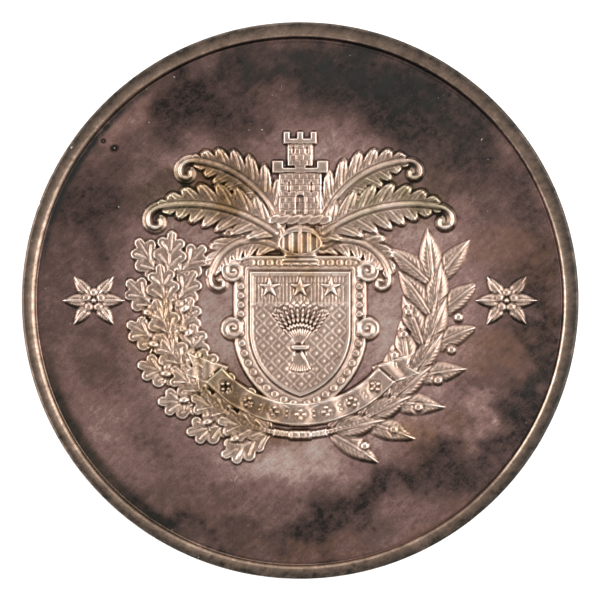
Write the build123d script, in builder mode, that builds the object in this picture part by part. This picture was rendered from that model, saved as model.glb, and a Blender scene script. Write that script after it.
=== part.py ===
# A struck silver commemorative medal, lying face up.
# Millimetres, +Z up out of the front. The origin is the middle of the back rim's resting plane.
# The front holds a raised design of stock heraldic forms: a shield with a wheat sheaf and stars in a
# strapwork frame, a barred helm with a twisted roll and a tower, leafy mantling, a plain ribbon, and a
# wreath of oak and laurel. A sprig of leaves stands on each side of it.
from build123d import *
from math import cos, radians, sin
import os

# The struck disc
medal_diameter = 57.0
rim_height = 4.2  # thickness over both rims
rim_land = 1.0  # flat of each rim
rim_wall_run = 0.3  # how far a rim's inner wall leans in
edge_round = 0.3
front_recess = 0.6  # from the rim down to the front field
back_recess = 0.45

# The raised design stands on the front field in terraces, each with its rise above the one below it
relief_margin = 7.8  # from the edge of the field in to the reach of the design
terrace_rises = {"leaf": 0.24, "frame": 0.10, "plate": 0.10, "charge": 0.08}

medal_radius = medal_diameter / 2
land_radius = medal_radius - edge_round - rim_land
field_radius = land_radius - rim_wall_run
field_height = rim_height - front_recess
design_reach = field_radius - relief_margin
drawn = {name: [] for name in terrace_rises}  # the faces that each terrace is drawn with

# The wreath's lengths are shares of the design's reach; angles are degrees up from the bottom
wreath_radius = 0.720 * design_reach
wreath_start = 12.0
wreath_end = 96.0
leaf_groups = 7
splay = 38.0
laurel = {"length": 0.320 * design_reach, "width": 0.125 * design_reach}
oak = {"length": 0.320 * design_reach, "width": 0.180 * design_reach, "lobes": 3}
stem_width = 0.040 * design_reach
berry_radius = 0.030 * design_reach
tie = {"length": 0.150 * design_reach, "width": 0.062 * design_reach}

# The shield and what it carries
shield_half_width = 0.275 * design_reach
shield_top = 0.160 * design_reach
shield_shoulder = -0.150 * design_reach
shield_point = -0.520 * design_reach
shield_rim = 0.026 * design_reach
chief_line = -0.020 * design_reach
frame_width = 0.085 * design_reach
star_radius = 0.062 * design_reach
star_points = 5
sheaf_height = 0.340 * design_reach
sheaf_ears = 9

# The ribbon under the shield
ribbon_radius = 0.610 * design_reach
ribbon_width = 0.135 * design_reach
ribbon_half_angle = 50.0
ribbon_tail = 0.190 * design_reach

# The helm, its twisted roll and the tower on it
helm_half_width = 0.135 * design_reach
helm_foot = shield_top + 0.010 * design_reach
helm_height = 0.250 * design_reach
roll_half_width = 0.175 * design_reach
roll_height = 0.066 * design_reach
roll_turns = 6
tower_half_width = 0.120 * design_reach
tower_height = 0.260 * design_reach
turret_half_width = 0.072 * design_reach
merlon_height = 0.036 * design_reach
merlon_share = 0.55
parapet_height = 0.034 * design_reach

# Mantling: one row for each long leaf on a side, as shares of the design's reach. A leaf leaves the helm at
# its root, bends through its middle and ends in a curl at its tip.
mantling_rows = [
    {"root": (0.12, 0.42), "middle": (0.30, 0.65), "tip": (0.58, 0.75), "lobes": 7},
    {"root": (0.13, 0.36), "middle": (0.44, 0.50), "tip": (0.76, 0.50), "lobes": 7},
    {"root": (0.12, 0.29), "middle": (0.35, 0.30), "tip": (0.48, 0.12), "lobes": 5},
]
mantling_blade = 0.120 * design_reach
mantling_rib = 0.034 * design_reach
lobe = {"length": 0.160 * design_reach, "width": 0.110 * design_reach}
lobe_splay = 50.0
curl_radius = 0.046 * design_reach

# The sprig on each side, between the wreath and the field's edge
wreath_reach = wreath_radius + laurel["length"] / 2
sprig_centre = wreath_reach + 0.43 * (field_radius - wreath_reach)
sprig_leaf = {"length": 0.170 * design_reach, "width": 0.078 * design_reach}
sprig_splay = 46.0
petal_radius = 0.030 * design_reach
petals = 5


def on_design(share_x, share_y):
    return (share_x * design_reach, share_y * design_reach)


def on_circle(radius, degrees_up):
    """A point on a circle about the design's middle, by its angle up from the bottom."""
    return (radius * sin(radians(degrees_up)), -radius * cos(radians(degrees_up)))


def raise_terraces():
    """Stacks the terraces on the front field. Each one's outline also holds all that stands higher."""
    floor = field_height
    names = list(terrace_rises)
    for i, name in enumerate(names):
        with BuildSketch(Plane.XY.offset(floor)) as outline:
            add([face for higher in names[i:] for face in drawn[higher]])
        extrude(outline.sketch, amount=terrace_rises[name])
        floor += terrace_rises[name]


def blade(length, width):
    """A pointed leaf along +X from the origin, bounded by two arcs."""
    with BuildSketch() as leaf:
        with BuildLine():
            ThreePointArc((0, 0), (length / 2, width / 2), (length, 0))
            ThreePointArc((length, 0), (length / 2, -width / 2), (0, 0))
        make_face()
    return leaf.sketch


def lobed_blade(length, width, lobes):
    """An oak leaf along +X from the origin, with a row of round lobes along each side."""
    first, last = 0.14 * length, 0.86 * length
    span = (last - first) / lobes
    notches = [(first + span * i, 0.30 * width * sin(radians(50 + 80 * i / lobes))) for i in range(lobes + 1)]
    with BuildSketch() as leaf:
        with BuildLine():
            for side in (1, -1):
                Line((0, 0), (notches[0][0], side * notches[0][1]))
                for (x0, y0), (x1, y1) in zip(notches, notches[1:]):
                    crest = ((x0 + x1) / 2, side * ((y0 + y1) / 2 + min(0.20 * width, 0.45 * span)))
                    ThreePointArc((x0, side * y0), crest, (x1, side * y1))
            tip_x, tip_y = notches[-1]
            ThreePointArc((tip_x, tip_y), (length, 0), (tip_x, -tip_y))
        make_face()
    return leaf.sketch


def group_spots(side):
    """Where each group of leaves sits on a branch, as the place and the heading of its middle leaf."""
    spots = []
    for i in range(leaf_groups):
        angle = wreath_start + (wreath_end - wreath_start) * i / (leaf_groups - 1)
        x, y = on_circle(wreath_radius, angle)
        spots.append((side * x, y, angle if side > 0 else 180 - angle))
    return spots


def copies(shape, spots):
    """One sketch of a shape repeated at each (x, y, heading)."""
    with BuildSketch() as all_copies:
        for x, y, heading in spots:
            with Locations(Location((x, y, 0), (0, 0, heading))):
                add(shape)
    return all_copies.sketch


def arc_band(radius, width, from_angle, to_angle):
    """A band of even width along a circle about the design's middle, between two angles as on_circle has."""
    inner, outer = radius - width / 2, radius + width / 2
    middle = (from_angle + to_angle) / 2
    with BuildSketch() as band:
        with BuildLine():
            ThreePointArc(*(on_circle(outer, a) for a in (from_angle, middle, to_angle)))
            Line(on_circle(outer, to_angle), on_circle(inner, to_angle))
            ThreePointArc(*(on_circle(inner, a) for a in (to_angle, middle, from_angle)))
            Line(on_circle(inner, from_angle), on_circle(outer, from_angle))
        make_face()
    return band.sketch


def shield_face(grow):
    """The shield's outline: a straight top, straight sides and two arcs to the point."""
    half, top = shield_half_width + grow, shield_top + grow
    point = shield_point - 1.2 * grow
    flank = (0.74 * half, shield_shoulder + 0.62 * (point - shield_shoulder))
    with BuildSketch() as face:
        with BuildLine():
            Line((half, shield_shoulder), (half, top))
            Line((half, top), (-half, top))
            Line((-half, top), (-half, shield_shoulder))
            ThreePointArc((-half, shield_shoulder), (-flank[0], flank[1]), (0, point))
            ThreePointArc((0, point), flank, (half, shield_shoulder))
        make_face()
    return face.sketch


def strike_disc():
    """The disc with a rim on each face, turned from its half section."""
    with BuildSketch(Plane.XZ) as section:
        with BuildLine():
            Polyline(
                (0, back_recess),
                (field_radius, back_recess),
                (land_radius, 0),
                (medal_radius, 0),
                (medal_radius, rim_height),
                (land_radius, rim_height),
                (field_radius, field_height),
                (0, field_height),
                close=True,
            )
        make_face()
        fillet(section.vertices().group_by(Axis.X)[-1], edge_round)
    revolve(section.sketch, axis=Axis.Z)


def draw_wreath():
    """Oak on the left and laurel on the right, their stems crossed at the bottom."""
    leaf_of = {
        1: blade(laurel["length"], laurel["width"]),
        -1: lobed_blade(oak["length"], oak["width"], oak["lobes"]),
    }
    for side, leaf in leaf_of.items():
        spots = group_spots(side)
        splayed = [(x, y, heading + turn) for x, y, heading in spots for turn in (splay, -splay)]
        drawn["leaf"] += copies(leaf, splayed).faces()
        drawn["frame"] += copies(leaf, spots).faces()
        rib = blade(0.8 * laurel["length"], 0.16 * laurel["width"])
        drawn["plate"] += copies(rib, spots).faces()
        stem_angles = sorted((-side * wreath_start, side * wreath_end))
        drawn["frame"] += arc_band(wreath_radius, stem_width, *stem_angles).faces()
        berries = [on_circle(wreath_radius + reach * laurel["length"], side * (wreath_start + step * i))
                   for step in [(wreath_end - wreath_start) / leaf_groups]
                   for i in range(1, leaf_groups) for reach in (-0.42, 0.42)]
        with BuildSketch() as fruit:
            with Locations(*berries):
                Circle(berry_radius)
        drawn["frame"] += fruit.faces()
    with BuildSketch() as knot:
        with Locations(on_circle(wreath_radius, 0)):
            SlotOverall(tie["length"], tie["width"])
    drawn["plate"] += knot.faces()


def draw_ribbon():
    """A plain ribbon that hangs under the shield, with a forked tail folded out at each end."""
    band = arc_band(ribbon_radius, ribbon_width, -ribbon_half_angle, ribbon_half_angle)
    drawn["plate"] += band.faces()
    with BuildSketch() as tails:
        for side in (1, -1):
            x, y = on_circle(ribbon_radius, side * ribbon_half_angle)
            half = ribbon_width / 2
            with Locations(Location((x, y, 0), (0, 0, 90 - side * 70))):
                with BuildLine(mode=Mode.PRIVATE) as tail:
                    Polyline(
                        (-half, -half),
                        (ribbon_tail, -half),
                        (ribbon_tail - half, 0),
                        (ribbon_tail, half),
                        (-half, half),
                        close=True,
                    )
                add(make_face(tail.line, mode=Mode.PRIVATE))
    drawn["frame"] += tails.faces()


def draw_shield():
    """The strapwork frame with its curls, the rimmed shield, the stars and the wheat sheaf."""
    frame_half = shield_half_width + frame_width
    curls = [(side * frame_half, y) for side in (1, -1) for y in (shield_top, shield_shoulder)]
    with BuildSketch() as frame:
        add(shield_face(frame_width))
        with Locations(*curls):
            Circle(0.8 * frame_width)
    drawn["frame"] += frame.faces()
    drawn["plate"] += shield_face(0).faces()
    with BuildSketch() as border:
        add(shield_face(0))
        add(shield_face(-shield_rim), mode=Mode.SUBTRACT)
        with Locations((0, chief_line)):
            Rectangle(2 * shield_half_width, shield_rim)
    drawn["charge"] += border.faces()
    corners = [(star_radius if k % 2 == 0 else 0.45 * star_radius, radians(90 + 180 * k / star_points))
               for k in range(2 * star_points)]
    with BuildLine() as star_line:
        Polyline(*((radius * cos(angle), radius * sin(angle)) for radius, angle in corners), close=True)
    with BuildSketch() as stars:
        with Locations((0, (shield_top + chief_line) / 2)):
            with GridLocations(0.6 * shield_half_width, 0, 3, 1):
                add(make_face(star_line.line, mode=Mode.PRIVATE))
    drawn["charge"] += stars.faces()
    sheaf_foot = (chief_line + shield_point) / 2 - sheaf_height / 2 + 0.06 * design_reach
    waist = (0, sheaf_foot + 0.38 * sheaf_height)
    ears = [(*waist, 90 + 64 * (i / (sheaf_ears - 1) - 0.5)) for i in range(sheaf_ears)]
    stalks = [(*waist, -90 + 44 * (i / (sheaf_ears - 1) - 0.5)) for i in range(sheaf_ears)]
    with BuildSketch() as sheaf:
        add(copies(blade(0.62 * sheaf_height, 0.10 * sheaf_height), ears))
        add(copies(blade(0.36 * sheaf_height, 0.07 * sheaf_height), stalks))
        with Locations(waist):
            SlotOverall(0.26 * sheaf_height, 0.09 * sheaf_height)
    drawn["charge"] += sheaf.faces()


def draw_helm():
    """The helm with its bars, the twisted roll over it and the two-stage tower on top."""
    half, top = helm_half_width, helm_foot + helm_height
    with BuildSketch() as helm:
        with BuildLine():
            ThreePointArc((half, top - half), (0, top), (-half, top - half))
            Line((-half, top - half), (-0.72 * half, helm_foot + 0.3 * helm_height))
            Line((-0.72 * half, helm_foot + 0.3 * helm_height), (-half, helm_foot))
            Line((-half, helm_foot), (half, helm_foot))
            Line((half, helm_foot), (0.72 * half, helm_foot + 0.3 * helm_height))
            Line((0.72 * half, helm_foot + 0.3 * helm_height), (half, top - half))
        make_face()
    drawn["plate"] += helm.faces()
    with BuildSketch() as bars:
        with Locations((0, helm_foot + 0.52 * helm_height)):
            with GridLocations(0.3 * half, 0, 5, 1):
                SlotOverall(0.34 * helm_height, 0.12 * half, rotation=90)
    drawn["charge"] += bars.faces()
    roll_middle = top + roll_height / 2 - 0.02 * design_reach
    with BuildSketch() as roll:
        with Locations((0, roll_middle)):
            with GridLocations(2 * roll_half_width / roll_turns, 0, roll_turns, 1):
                Ellipse(0.72 * roll_height, 0.42 * roll_height, rotation=50)
    drawn["charge"] += roll.faces()
    tower_foot = roll_middle + roll_height / 2 - 0.01 * design_reach
    turret_foot = tower_foot + tower_height
    turret_height = 0.6 * tower_height
    with BuildSketch() as tower:
        for foot, half_width, height in (
            (tower_foot, tower_half_width, tower_height),
            (turret_foot, turret_half_width, turret_height),
        ):
            with Locations((0, foot + height / 2)):
                Rectangle(2 * half_width, height)
            with Locations((0, foot + height - parapet_height / 2)):
                Rectangle((2 + merlon_share) * half_width, parapet_height)
            with Locations((0, foot + height + merlon_height / 2)):
                with GridLocations(half_width, 0, 3, 1):
                    Rectangle(merlon_share * half_width, merlon_height)
        with Locations((0, tower_foot + 0.2 * tower_height)):
            SlotOverall(0.5 * tower_height, 0.4 * tower_half_width, rotation=90, mode=Mode.SUBTRACT)
    drawn["plate"] += tower.faces()


def draw_mantling():
    """Three long leaves on each side of the helm, each with a rib, two rows of lobes and a curled tip."""
    with BuildSketch() as round_lobe:
        with Locations((lobe["length"] / 2, 0)):
            Ellipse(lobe["length"] / 2, lobe["width"] / 2)
    for side in (1, -1):
        for row in mantling_rows:
            root, middle, tip = (on_design(side * u, v) for u, v in (row["root"], row["middle"], row["tip"]))
            with BuildLine() as spine:
                ThreePointArc(root, middle, tip)
            spots = []
            for i in range(row["lobes"]):
                share = i / row["lobes"]
                place, along = spine.line @ share, spine.line % share
                heading = Vector(1, 0).get_signed_angle(along)
                spots += [(place.X, place.Y, heading + turn) for turn in (lobe_splay, -lobe_splay)]
            with BuildSketch() as leaf:
                add(copies(round_lobe.sketch, spots))
                SlotArc(spine.line.edge(), mantling_blade)
            drawn["leaf"] += leaf.faces()
            end, along = spine.line @ 1, spine.line % 1
            with BuildSketch() as rib:
                SlotArc(spine.line.edge(), mantling_rib)
                with Locations(end + along.rotate(Axis.Z, -90 * side) * curl_radius):
                    Circle(curl_radius)
            drawn["frame"] += rib.faces()


def draw_sprigs():
    """A five-petalled flower between two sprays of three leaves, on each side of the design."""
    leaf = blade(sprig_leaf["length"], sprig_leaf["width"])
    for side in (1, -1):
        centre = (side * sprig_centre, 0)
        turns = (-sprig_splay, 0, sprig_splay)
        leaves = [(*centre, heading + turn) for heading in (0, 180) for turn in turns]
        drawn["leaf"] += copies(leaf, leaves).faces()
        with BuildSketch() as flower:
            with Locations(centre):
                Circle(petal_radius)
                with PolarLocations(1.35 * petal_radius, petals, start_angle=90):
                    Circle(petal_radius)
        drawn["frame"] += flower.faces()


draw_wreath()
draw_mantling()
draw_helm()
draw_shield()
draw_ribbon()
draw_sprigs()
with BuildPart() as medal:
    strike_disc()
    raise_terraces()

medal.part.label = "medal"
os.makedirs("parts", exist_ok=True)
export_step(medal.part, "parts/medal.step")
print("medal volume", round(medal.part.volume, 1), "mm3, solids", len(medal.part.solids()))
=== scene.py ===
from cmath import phase, rect
from math import atan2, cos, dist, hypot, pi, radians, sin, tau

import bmesh
import bpy
import numpy as np
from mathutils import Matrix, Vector


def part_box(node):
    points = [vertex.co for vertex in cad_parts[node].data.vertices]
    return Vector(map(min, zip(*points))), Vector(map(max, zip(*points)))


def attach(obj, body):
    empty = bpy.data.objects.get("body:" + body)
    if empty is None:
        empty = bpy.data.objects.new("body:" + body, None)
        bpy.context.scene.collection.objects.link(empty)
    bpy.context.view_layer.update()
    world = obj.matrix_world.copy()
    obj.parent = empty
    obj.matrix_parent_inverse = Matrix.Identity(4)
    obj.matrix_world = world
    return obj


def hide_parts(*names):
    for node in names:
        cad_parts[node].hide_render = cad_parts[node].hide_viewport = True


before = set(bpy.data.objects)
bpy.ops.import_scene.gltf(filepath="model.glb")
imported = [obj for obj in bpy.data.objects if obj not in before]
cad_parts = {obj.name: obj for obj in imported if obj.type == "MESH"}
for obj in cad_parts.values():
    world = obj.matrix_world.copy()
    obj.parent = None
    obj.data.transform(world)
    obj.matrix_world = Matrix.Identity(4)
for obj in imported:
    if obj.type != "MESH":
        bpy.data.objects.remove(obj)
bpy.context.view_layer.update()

# A struck and toned silver medal, lying face up. Sizes are in millimetres until a mesh is made, and x and y
# are the plan of the face from its middle. The disc's width and thickness come from the frame.
lowCorner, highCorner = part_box("medal")
disc = {
    "radius": 500 * (highCorner[0] - lowCorner[0]),
    "thickness": 1000 * (highCorner[2] - lowCorner[2]),
    "rimLand": 1.0,
    "wallRun": 0.3,
    "edgeRound": 0.3,
    "edgeSteps": (6, 6, 8),  # points round the back's rounding, up the side and round the front's
    "frontRecess": 0.6,
    "backRecess": 0.45,
    "backLip": (0.1, 0.02),  # how far the back rim's inner edge is eased, across and up
    "crestInset": 0.12,
    "landFall": 0.05,  # how far the front rim's land falls from its crest to its inner shoulder
    "landSteps": 6,
    "shoulderRun": 0.38,
    "shoulderSlopes": (9, 50),  # degrees, from the land to the wall
    "shoulderSteps": 9,
    "wallTop": 27.04,  # the front rim's wall is steep, and leans less than the frame's does
    "wallFoot": 26.92,
    "wallSteps": (0.33, 0.66, 1.0),  # shares of the way down
    "footRound": ((0.0, 0.02), (0.05, 0.004), (0.11, 0.0)),  # in from the wall's foot, and up from the field
    "backRings": (6.0, 12.0, 18.0, 23.0, 26.0),
    "closeRings": (26.8, 26.72, 26.66, 26.6, 26.54, 26.4, 26.2, 26.0, 25.8),  # where thin lines of tone run
    "innerRings": (25.5, 0.4, 64),  # the first, the last and how many
    "segments": 640,
    "offCentre": (-0.13, -0.15),  # the front was struck a little off centre
    "offCentreEnds": (0.4, 0.5),  # that fades out from past the wall's top to short of the edge
    "nickPull": 0.4,  # how far a nick pulls the edge in, as a share of its depth
}
landRadius = disc["radius"] - disc["edgeRound"] - disc["rimLand"]
fieldRadius = landRadius - disc["wallRun"]
fieldHeight = disc["thickness"] - disc["frontRecess"]
designMargin = 7.8
reach = fieldRadius - designMargin  # how far the raised design reaches from the middle


def named(columns, *rows):
    # A table: each row's values under the names of the columns
    return [dict(zip(columns, row)) for row in rows]


def mixed(low, high, share):
    return low + (high - low) * share


def eased(value, low, high):
    t = np.clip((value - low) / (high - low), 0, 1)
    return t * t * (3 - 2 * t)


def bump(away, width):
    return np.exp(-(away / width) ** 2)


def ridge(away, form):
    # A rounded ridge of a height and a width, or a furrow where the height is below nothing
    height, width = form
    return height * bump(away, width)


def swelling(share, lean, fullness):
    # Up from none to 1 and back. A lean below 1 puts the top before the middle, and a fullness below 1
    # fills out the ends.
    return np.sin(pi * share ** lean) ** fullness


waveSizes = (0.6, 1.6)  # the shortest and the longest wave of a pattern, as shares of its size


def clouds(x, y, size, seed, waves=28):
    # A smooth random pattern about as coarse as its size: flat waves that run every way, added up
    total = np.zeros(np.shape(x))
    for way, stretch, start in np.random.default_rng(seed).random((waves, 3)):
        pace = tau / (size * mixed(*waveSizes, stretch))
        total += np.cos(pace * (x * cos(tau * way) + y * sin(tau * way)) + tau * start)
    return total / (waves / 2) ** 0.5


# Toning
# Each row is one patch on the face: its middle, its half length and half width, how it is turned, and how
# deep it is. A patch of less than nothing is a paler one.
patchColumns = ("x", "y", "long", "wide", "turn", "deep")
tonePatches = {
    "stain": named(
        patchColumns,
        (6.6, 22.0, 6.8, 3.4, -8, 1.15),
        (12.6, 18.6, 6.0, 4.2, -40, 1.05),
        (18.9, 15.4, 6.8, 2.2, -50, 0.62),
        (-2.0, 23.4, 7.0, 2.2, 0, 0.62),
        (-13.8, 19.6, 3.2, 2.2, 30, 0.55),
        (-9.8, 18.9, 3.6, 3.0, -10, 0.75),
        (-5.2, 16.8, 3.4, 2.2, -30, 0.80),
        (-7.8, 11.6, 3.2, 3.2, 0, 1.20),
        (12.4, 11.2, 4.2, 2.4, 0, 0.60),
        (0.5, 5.0, 3.6, 1.8, 0, 0.40),
        (-6.0, -10.8, 4.4, 2.0, -28, 0.90),
        (-9.6, 22.2, 5.0, 1.8, 22, 0.60),
        (-20.6, 10.4, 3.2, 2.6, 30, 0.70),
        (-21.8, 6.4, 2.0, 3.2, 10, 0.45),
        (-24.6, 8.6, 1.6, 5.0, -20, 0.20),
        (-13.6, 10.4, 4.0, 2.2, 0, 0.45),
        (-20.6, -6.4, 1.6, 2.6, 15, 0.30),
        (-20.2, -12.4, 2.8, 4.8, 30, -0.62),
        (-12.8, -22.2, 0.9, 2.8, 60, 0.45),
        (-16.6, -17.2, 3.0, 3.0, 45, -0.25),
        (-9.4, -23.4, 4.2, 1.3, -20, 0.70),
        (-0.6, -23.6, 4.2, 1.4, 0, 1.00),
        (4.8, -21.0, 4.6, 1.8, 42, 0.90),
        (9.4, -18.4, 4.2, 1.7, 22, 1.05),
        (14.2, -17.2, 4.0, 2.2, -10, 0.85),
        (20.8, -14.6, 2.4, 6.0, -38, 0.95),
        (24.0, -8.9, 2.2, 4.0, -18, 1.10),
        (25.0, -2.4, 2.3, 4.6, 0, 1.25),
        (23.6, 3.6, 2.2, 2.6, 0, 0.60),
        (24.6, 7.0, 1.6, 5.5, 16, 0.55),
        (19.2, 12.4, 2.6, 3.0, 50, 0.25),
        (18.2, -7.9, 2.4, 0.9, 10, 0.45),
        (12.0, -4.0, 1.8, 2.4, 0, 0.35),
        (-17.8, 18.6, 3.6, 1.2, 46, -0.85),
        (-12.2, 15.4, 3.2, 1.8, 20, -0.35),
        (-16.0, 13.8, 3.2, 2.4, 30, -0.15),
        (-20.0, -1.6, 2.2, 4.2, 0, -0.20),
        (-23.4, -5.4, 1.2, 3.0, 10, -0.20),
        # this paler band below the middle is partly tone and partly a painted reflection
        (-1.0, -17.4, 8.5, 1.8, 0, -0.60),
        (-4.5, -21.8, 4.0, 1.3, 0, -0.25),
        (10.5, -23.0, 4.2, 1.2, 24, -0.15),
        (18.9, -11.8, 1.8, 3.2, -16, -0.95),
        (3.2, -1.4, 2.6, 3.4, 0, -0.35),
        (-8.6, -0.6, 2.2, 4.4, 0, -0.30),
        (8.8, -2.6, 1.8, 4.0, 0, -0.38),
    ),
    "gold": named(
        patchColumns,
        (-7.8, 11.4, 3.2, 3.2, -20, 1.0),
        (0.5, 5.0, 4.4, 2.2, 0, 0.8),
        (-6.0, -11.0, 5.4, 2.4, -28, 0.8),
        (13.0, -13.8, 3.4, 1.8, 10, 0.5),
        (-14.6, -3.6, 2.4, 3.6, 0, 0.45),
        (0.0, -25.8, 8.0, 1.0, 0, 0.45),
    ),
    "olive": named(
        patchColumns,
        (12.4, 11.2, 3.4, 2.6, 0, 1.0),
        (7.4, 10.8, 2.8, 2.4, 20, 0.7),
        (-13.6, 10.6, 3.6, 2.6, 0, 0.9),
        (-8.6, -9.0, 3.0, 3.0, 0, 0.5),
    ),
    "rust": named(
        patchColumns,
        (20.9, 5.4, 3.8, 2.2, -10, 0.75),
        (19.6, -5.2, 3.6, 2.2, 0, 0.80),
        (12.4, -24.2, 6.0, 1.6, 26, 0.45),
        (-10.0, -20.6, 5.0, 2.0, -20, 0.25),
        (-21.0, -10.0, 3.6, 6.5, 30, 0.26),
        (-17.8, 18.6, 4.0, 1.6, 46, 0.40),
        (25.4, 2.0, 1.0, 6.0, 0, 0.35),
        (8.9, -1.8, 1.5, 4.2, 0, 0.30),
        (-8.7, -0.6, 1.7, 4.2, 0, 0.25),
    ),
    "steel": named(
        patchColumns,
        (24.2, -9.2, 2.0, 3.4, -18, 0.60),
        (14.6, 19.0, 5.0, 3.4, -42, 0.90),
        (-2.6, 24.2, 6.0, 1.6, 0, 1.20),
        (6.0, 22.6, 6.0, 2.8, -8, 1.10),
    ),
}
# How the patches' borders wander: how far, how coarsely, and the seeds across and up
sways = named(("far", "size", "seeds"), (0.75, 5.0, (11, 13)), (0.28, 1.7, (12, 14)))
patchFall = 2.2  # how soon a patch ends at its border
cleanRadii = (0.82 * reach, 1.12 * reach)  # cleaner silver within the first, none past the second


def toneOf(x, y, patches):
    # One kind of toning at each point, with ragged borders
    swayX, swayY = x, y
    for sway in sways:
        acrossSeed, upSeed = sway["seeds"]
        swayX = swayX + sway["far"] * clouds(x, y, sway["size"], acrossSeed)
        swayY = swayY + sway["far"] * clouds(x, y, sway["size"], upSeed)
    tone = np.zeros(np.shape(x))
    for patch in patches:
        c, s = cos(radians(patch["turn"])), sin(radians(patch["turn"]))
        dx, dy = swayX - patch["x"], swayY - patch["y"]
        away = np.hypot((dx * c + dy * s) / patch["long"], (dy * c - dx * s) / patch["wide"])
        tone += patch["deep"] * np.exp(-away ** patchFall)
    return np.tanh(tone)


def nearness(x, y):
    # 1 beside the raised design, where the silver is cleaner, down to none well away from it
    return 1 - eased(np.hypot(x, y), *cleanRadii)


def paintTones(mesh, x, y, extra, share=1.0):
    # Gives each point its toning, for the silver's colour and finish. share is how much of the patches shows.
    tones = {kind: share * toneOf(x, y, patches) for kind, patches in tonePatches.items()}
    for kind, values in extra.items():
        tones[kind] = tones.get(kind, 0) + values
    for kind, values in tones.items():
        mesh.attributes.new(kind, "FLOAT", "POINT").data.foreach_set("value", values.astype(np.float32))


# Raised pieces
# A sheet is a grid of heights over the field. Forms are laid on it one after another, and then it is cast
# as a mesh.
casting = {
    "cell": 0.055,  # spacing of the points
    "sunk": 0.12,  # how far a raised piece goes down into the field
    "floorDrop": 0.04,  # and how far its floor lies below that
    "sideRoundness": 2.2,
    "groove": 0.06,  # how deep a groove is pressed round a form
    "grooveWidth": 0.13,
    # the foot's darkening is part tarnish and part painted contact shade
    "footCells": 6,  # how far a thin tarnished foot runs out from each form
    "footHeight": 0.03,
    "footSink": 0.006,
    "cutDepth": 0.55,  # a sheet is cut off where it lies deeper than this share of what is sunk
    "cutCells": 2,
}
castTones = {
    "closeBy": (4, 0.05, 0.6),  # cells, height and share: crests stand above what is close by
    "furtherOff": (9, 0.12, 0.4),  # and above what is further off
    # shadow is painted shade on the lower sides of the forms
    "shadow": (5, 0.02, 0.16, 0.8),  # cells, the heights between which it deepens, and how strong it is
    "raisedTop": 0.12,
    "rubbed": 0.28,  # on all that is raised
    "crest": 0.45,
    "gold": 0.25,
    # stain darkens a form's foot and its lowest parts: part tarnish, part painted shade
    "stain": 0.42,  # at a form's foot
    "stainTop": 0.45,  # the height where that ends
}
whole = slice(None)


def newSheet(left, right, bottom, top):
    x, y = np.meshgrid(np.arange(left, right, casting["cell"]), np.arange(bottom, top, casting["cell"]))
    return {"x": x, "y": y, "h": np.full(x.shape, -2 * casting["sunk"])}


def nearTo(sheet, place, size):
    # Which points lie near a place, with their x and y
    near = (np.abs(sheet["x"] - place[0]) < size) & (np.abs(sheet["y"] - place[1]) < size)
    return near, sheet["x"][near], sheet["y"][near]


def around(sheet, place, size, heading=0):
    # The same, with how far they lie along and across a heading from the place
    near, x, y = nearTo(sheet, place, size)
    dx, dy = x - place[0], y - place[1]
    c, s = cos(radians(heading)), sin(radians(heading))
    return near, dx * c + dy * s, dy * c - dx * s


def lay(sheet, near, inward, level, run, detail=0.0, groove=casting["groove"]):
    # inward is how far a point lies in from the form's outline. The form's side rounds over to its level
    # within the run, and a groove is pressed round it into whatever lies below.
    t = np.clip(inward / run, -1, 1)
    side = np.where(t > 0, 1 - (1 - t) ** casting["sideRoundness"], casting["sideRoundness"] * t)
    below = sheet["h"][near]
    pressed = groove * bump(np.minimum(inward, 0), casting["grooveWidth"])
    below = np.where(below > 0, below - pressed, below)
    sheet["h"][near] = np.maximum(below, level * side + detail * np.clip(2 * t, 0, 1))


def toLine(x, y, start, end):
    # How far points lie from a straight line between two places, and how far along it
    dx, dy = end[0] - start[0], end[1] - start[1]
    share = np.clip(((x - start[0]) * dx + (y - start[1]) * dy) / (dx * dx + dy * dy), 0, 1)
    return np.hypot(x - start[0] - share * dx, y - start[1] - share * dy), share


def toBar(along, across, start, end):
    # How far points lie from a straight bar that runs along their own heading
    return toLine(along, across, (start, 0), (end, 0))[0]


def inOval(along, across, middle, long, half):
    # 1 at an oval's middle, none at its border and less outside it
    return 1 - np.hypot((along - middle) / long, across / half)


def merged(a, b, blend):
    return blend * np.logaddexp(a / blend, b / blend)


def onCircle(radius, degreesUp):
    # A place on a circle about the middle, by its angle up from the bottom
    return radius * sin(radians(degreesUp)), -radius * cos(radians(degreesUp))


def arcThrough(a, b, c, count):
    # Points along the circle through three places, from the first to the last
    a, b, c = complex(*a), complex(*b), complex(*c)
    ratio = (c - a) / (b - a)
    middle = a + (b - a) * (ratio - abs(ratio) ** 2) / (2j * ratio.imag)
    turn = phase((c - middle) / (a - middle)) % tau
    if phase((b - middle) / (a - middle)) % tau > turn:
        turn -= tau
    points = [middle + (a - middle) * rect(1, turn * i / (count - 1)) for i in range(count)]
    return [(point.real, point.imag) for point in points]


def lengthOf(path):
    return sum(dist(start, end) for start, end in zip(path, path[1:]))


def alongPath(x, y, path):
    # The distance from a path of points, how far along it, and on which side of it
    away, along, side = np.full(np.shape(x), 1e9), np.zeros(np.shape(x)), np.ones(np.shape(x))
    passed = 0.0
    for start, end in zip(path, path[1:]):
        far, part = toLine(x, y, start, end)
        closer = far < away
        away[closer] = far[closer]
        along[closer] = passed + part[closer] * dist(start, end)
        left = (end[0] - start[0]) * (y - start[1]) - (end[1] - start[1]) * (x - start[0]) > 0
        side[closer] = np.where(left, 1, -1)[closer]
        passed += dist(start, end)
    return away, along, side


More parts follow.
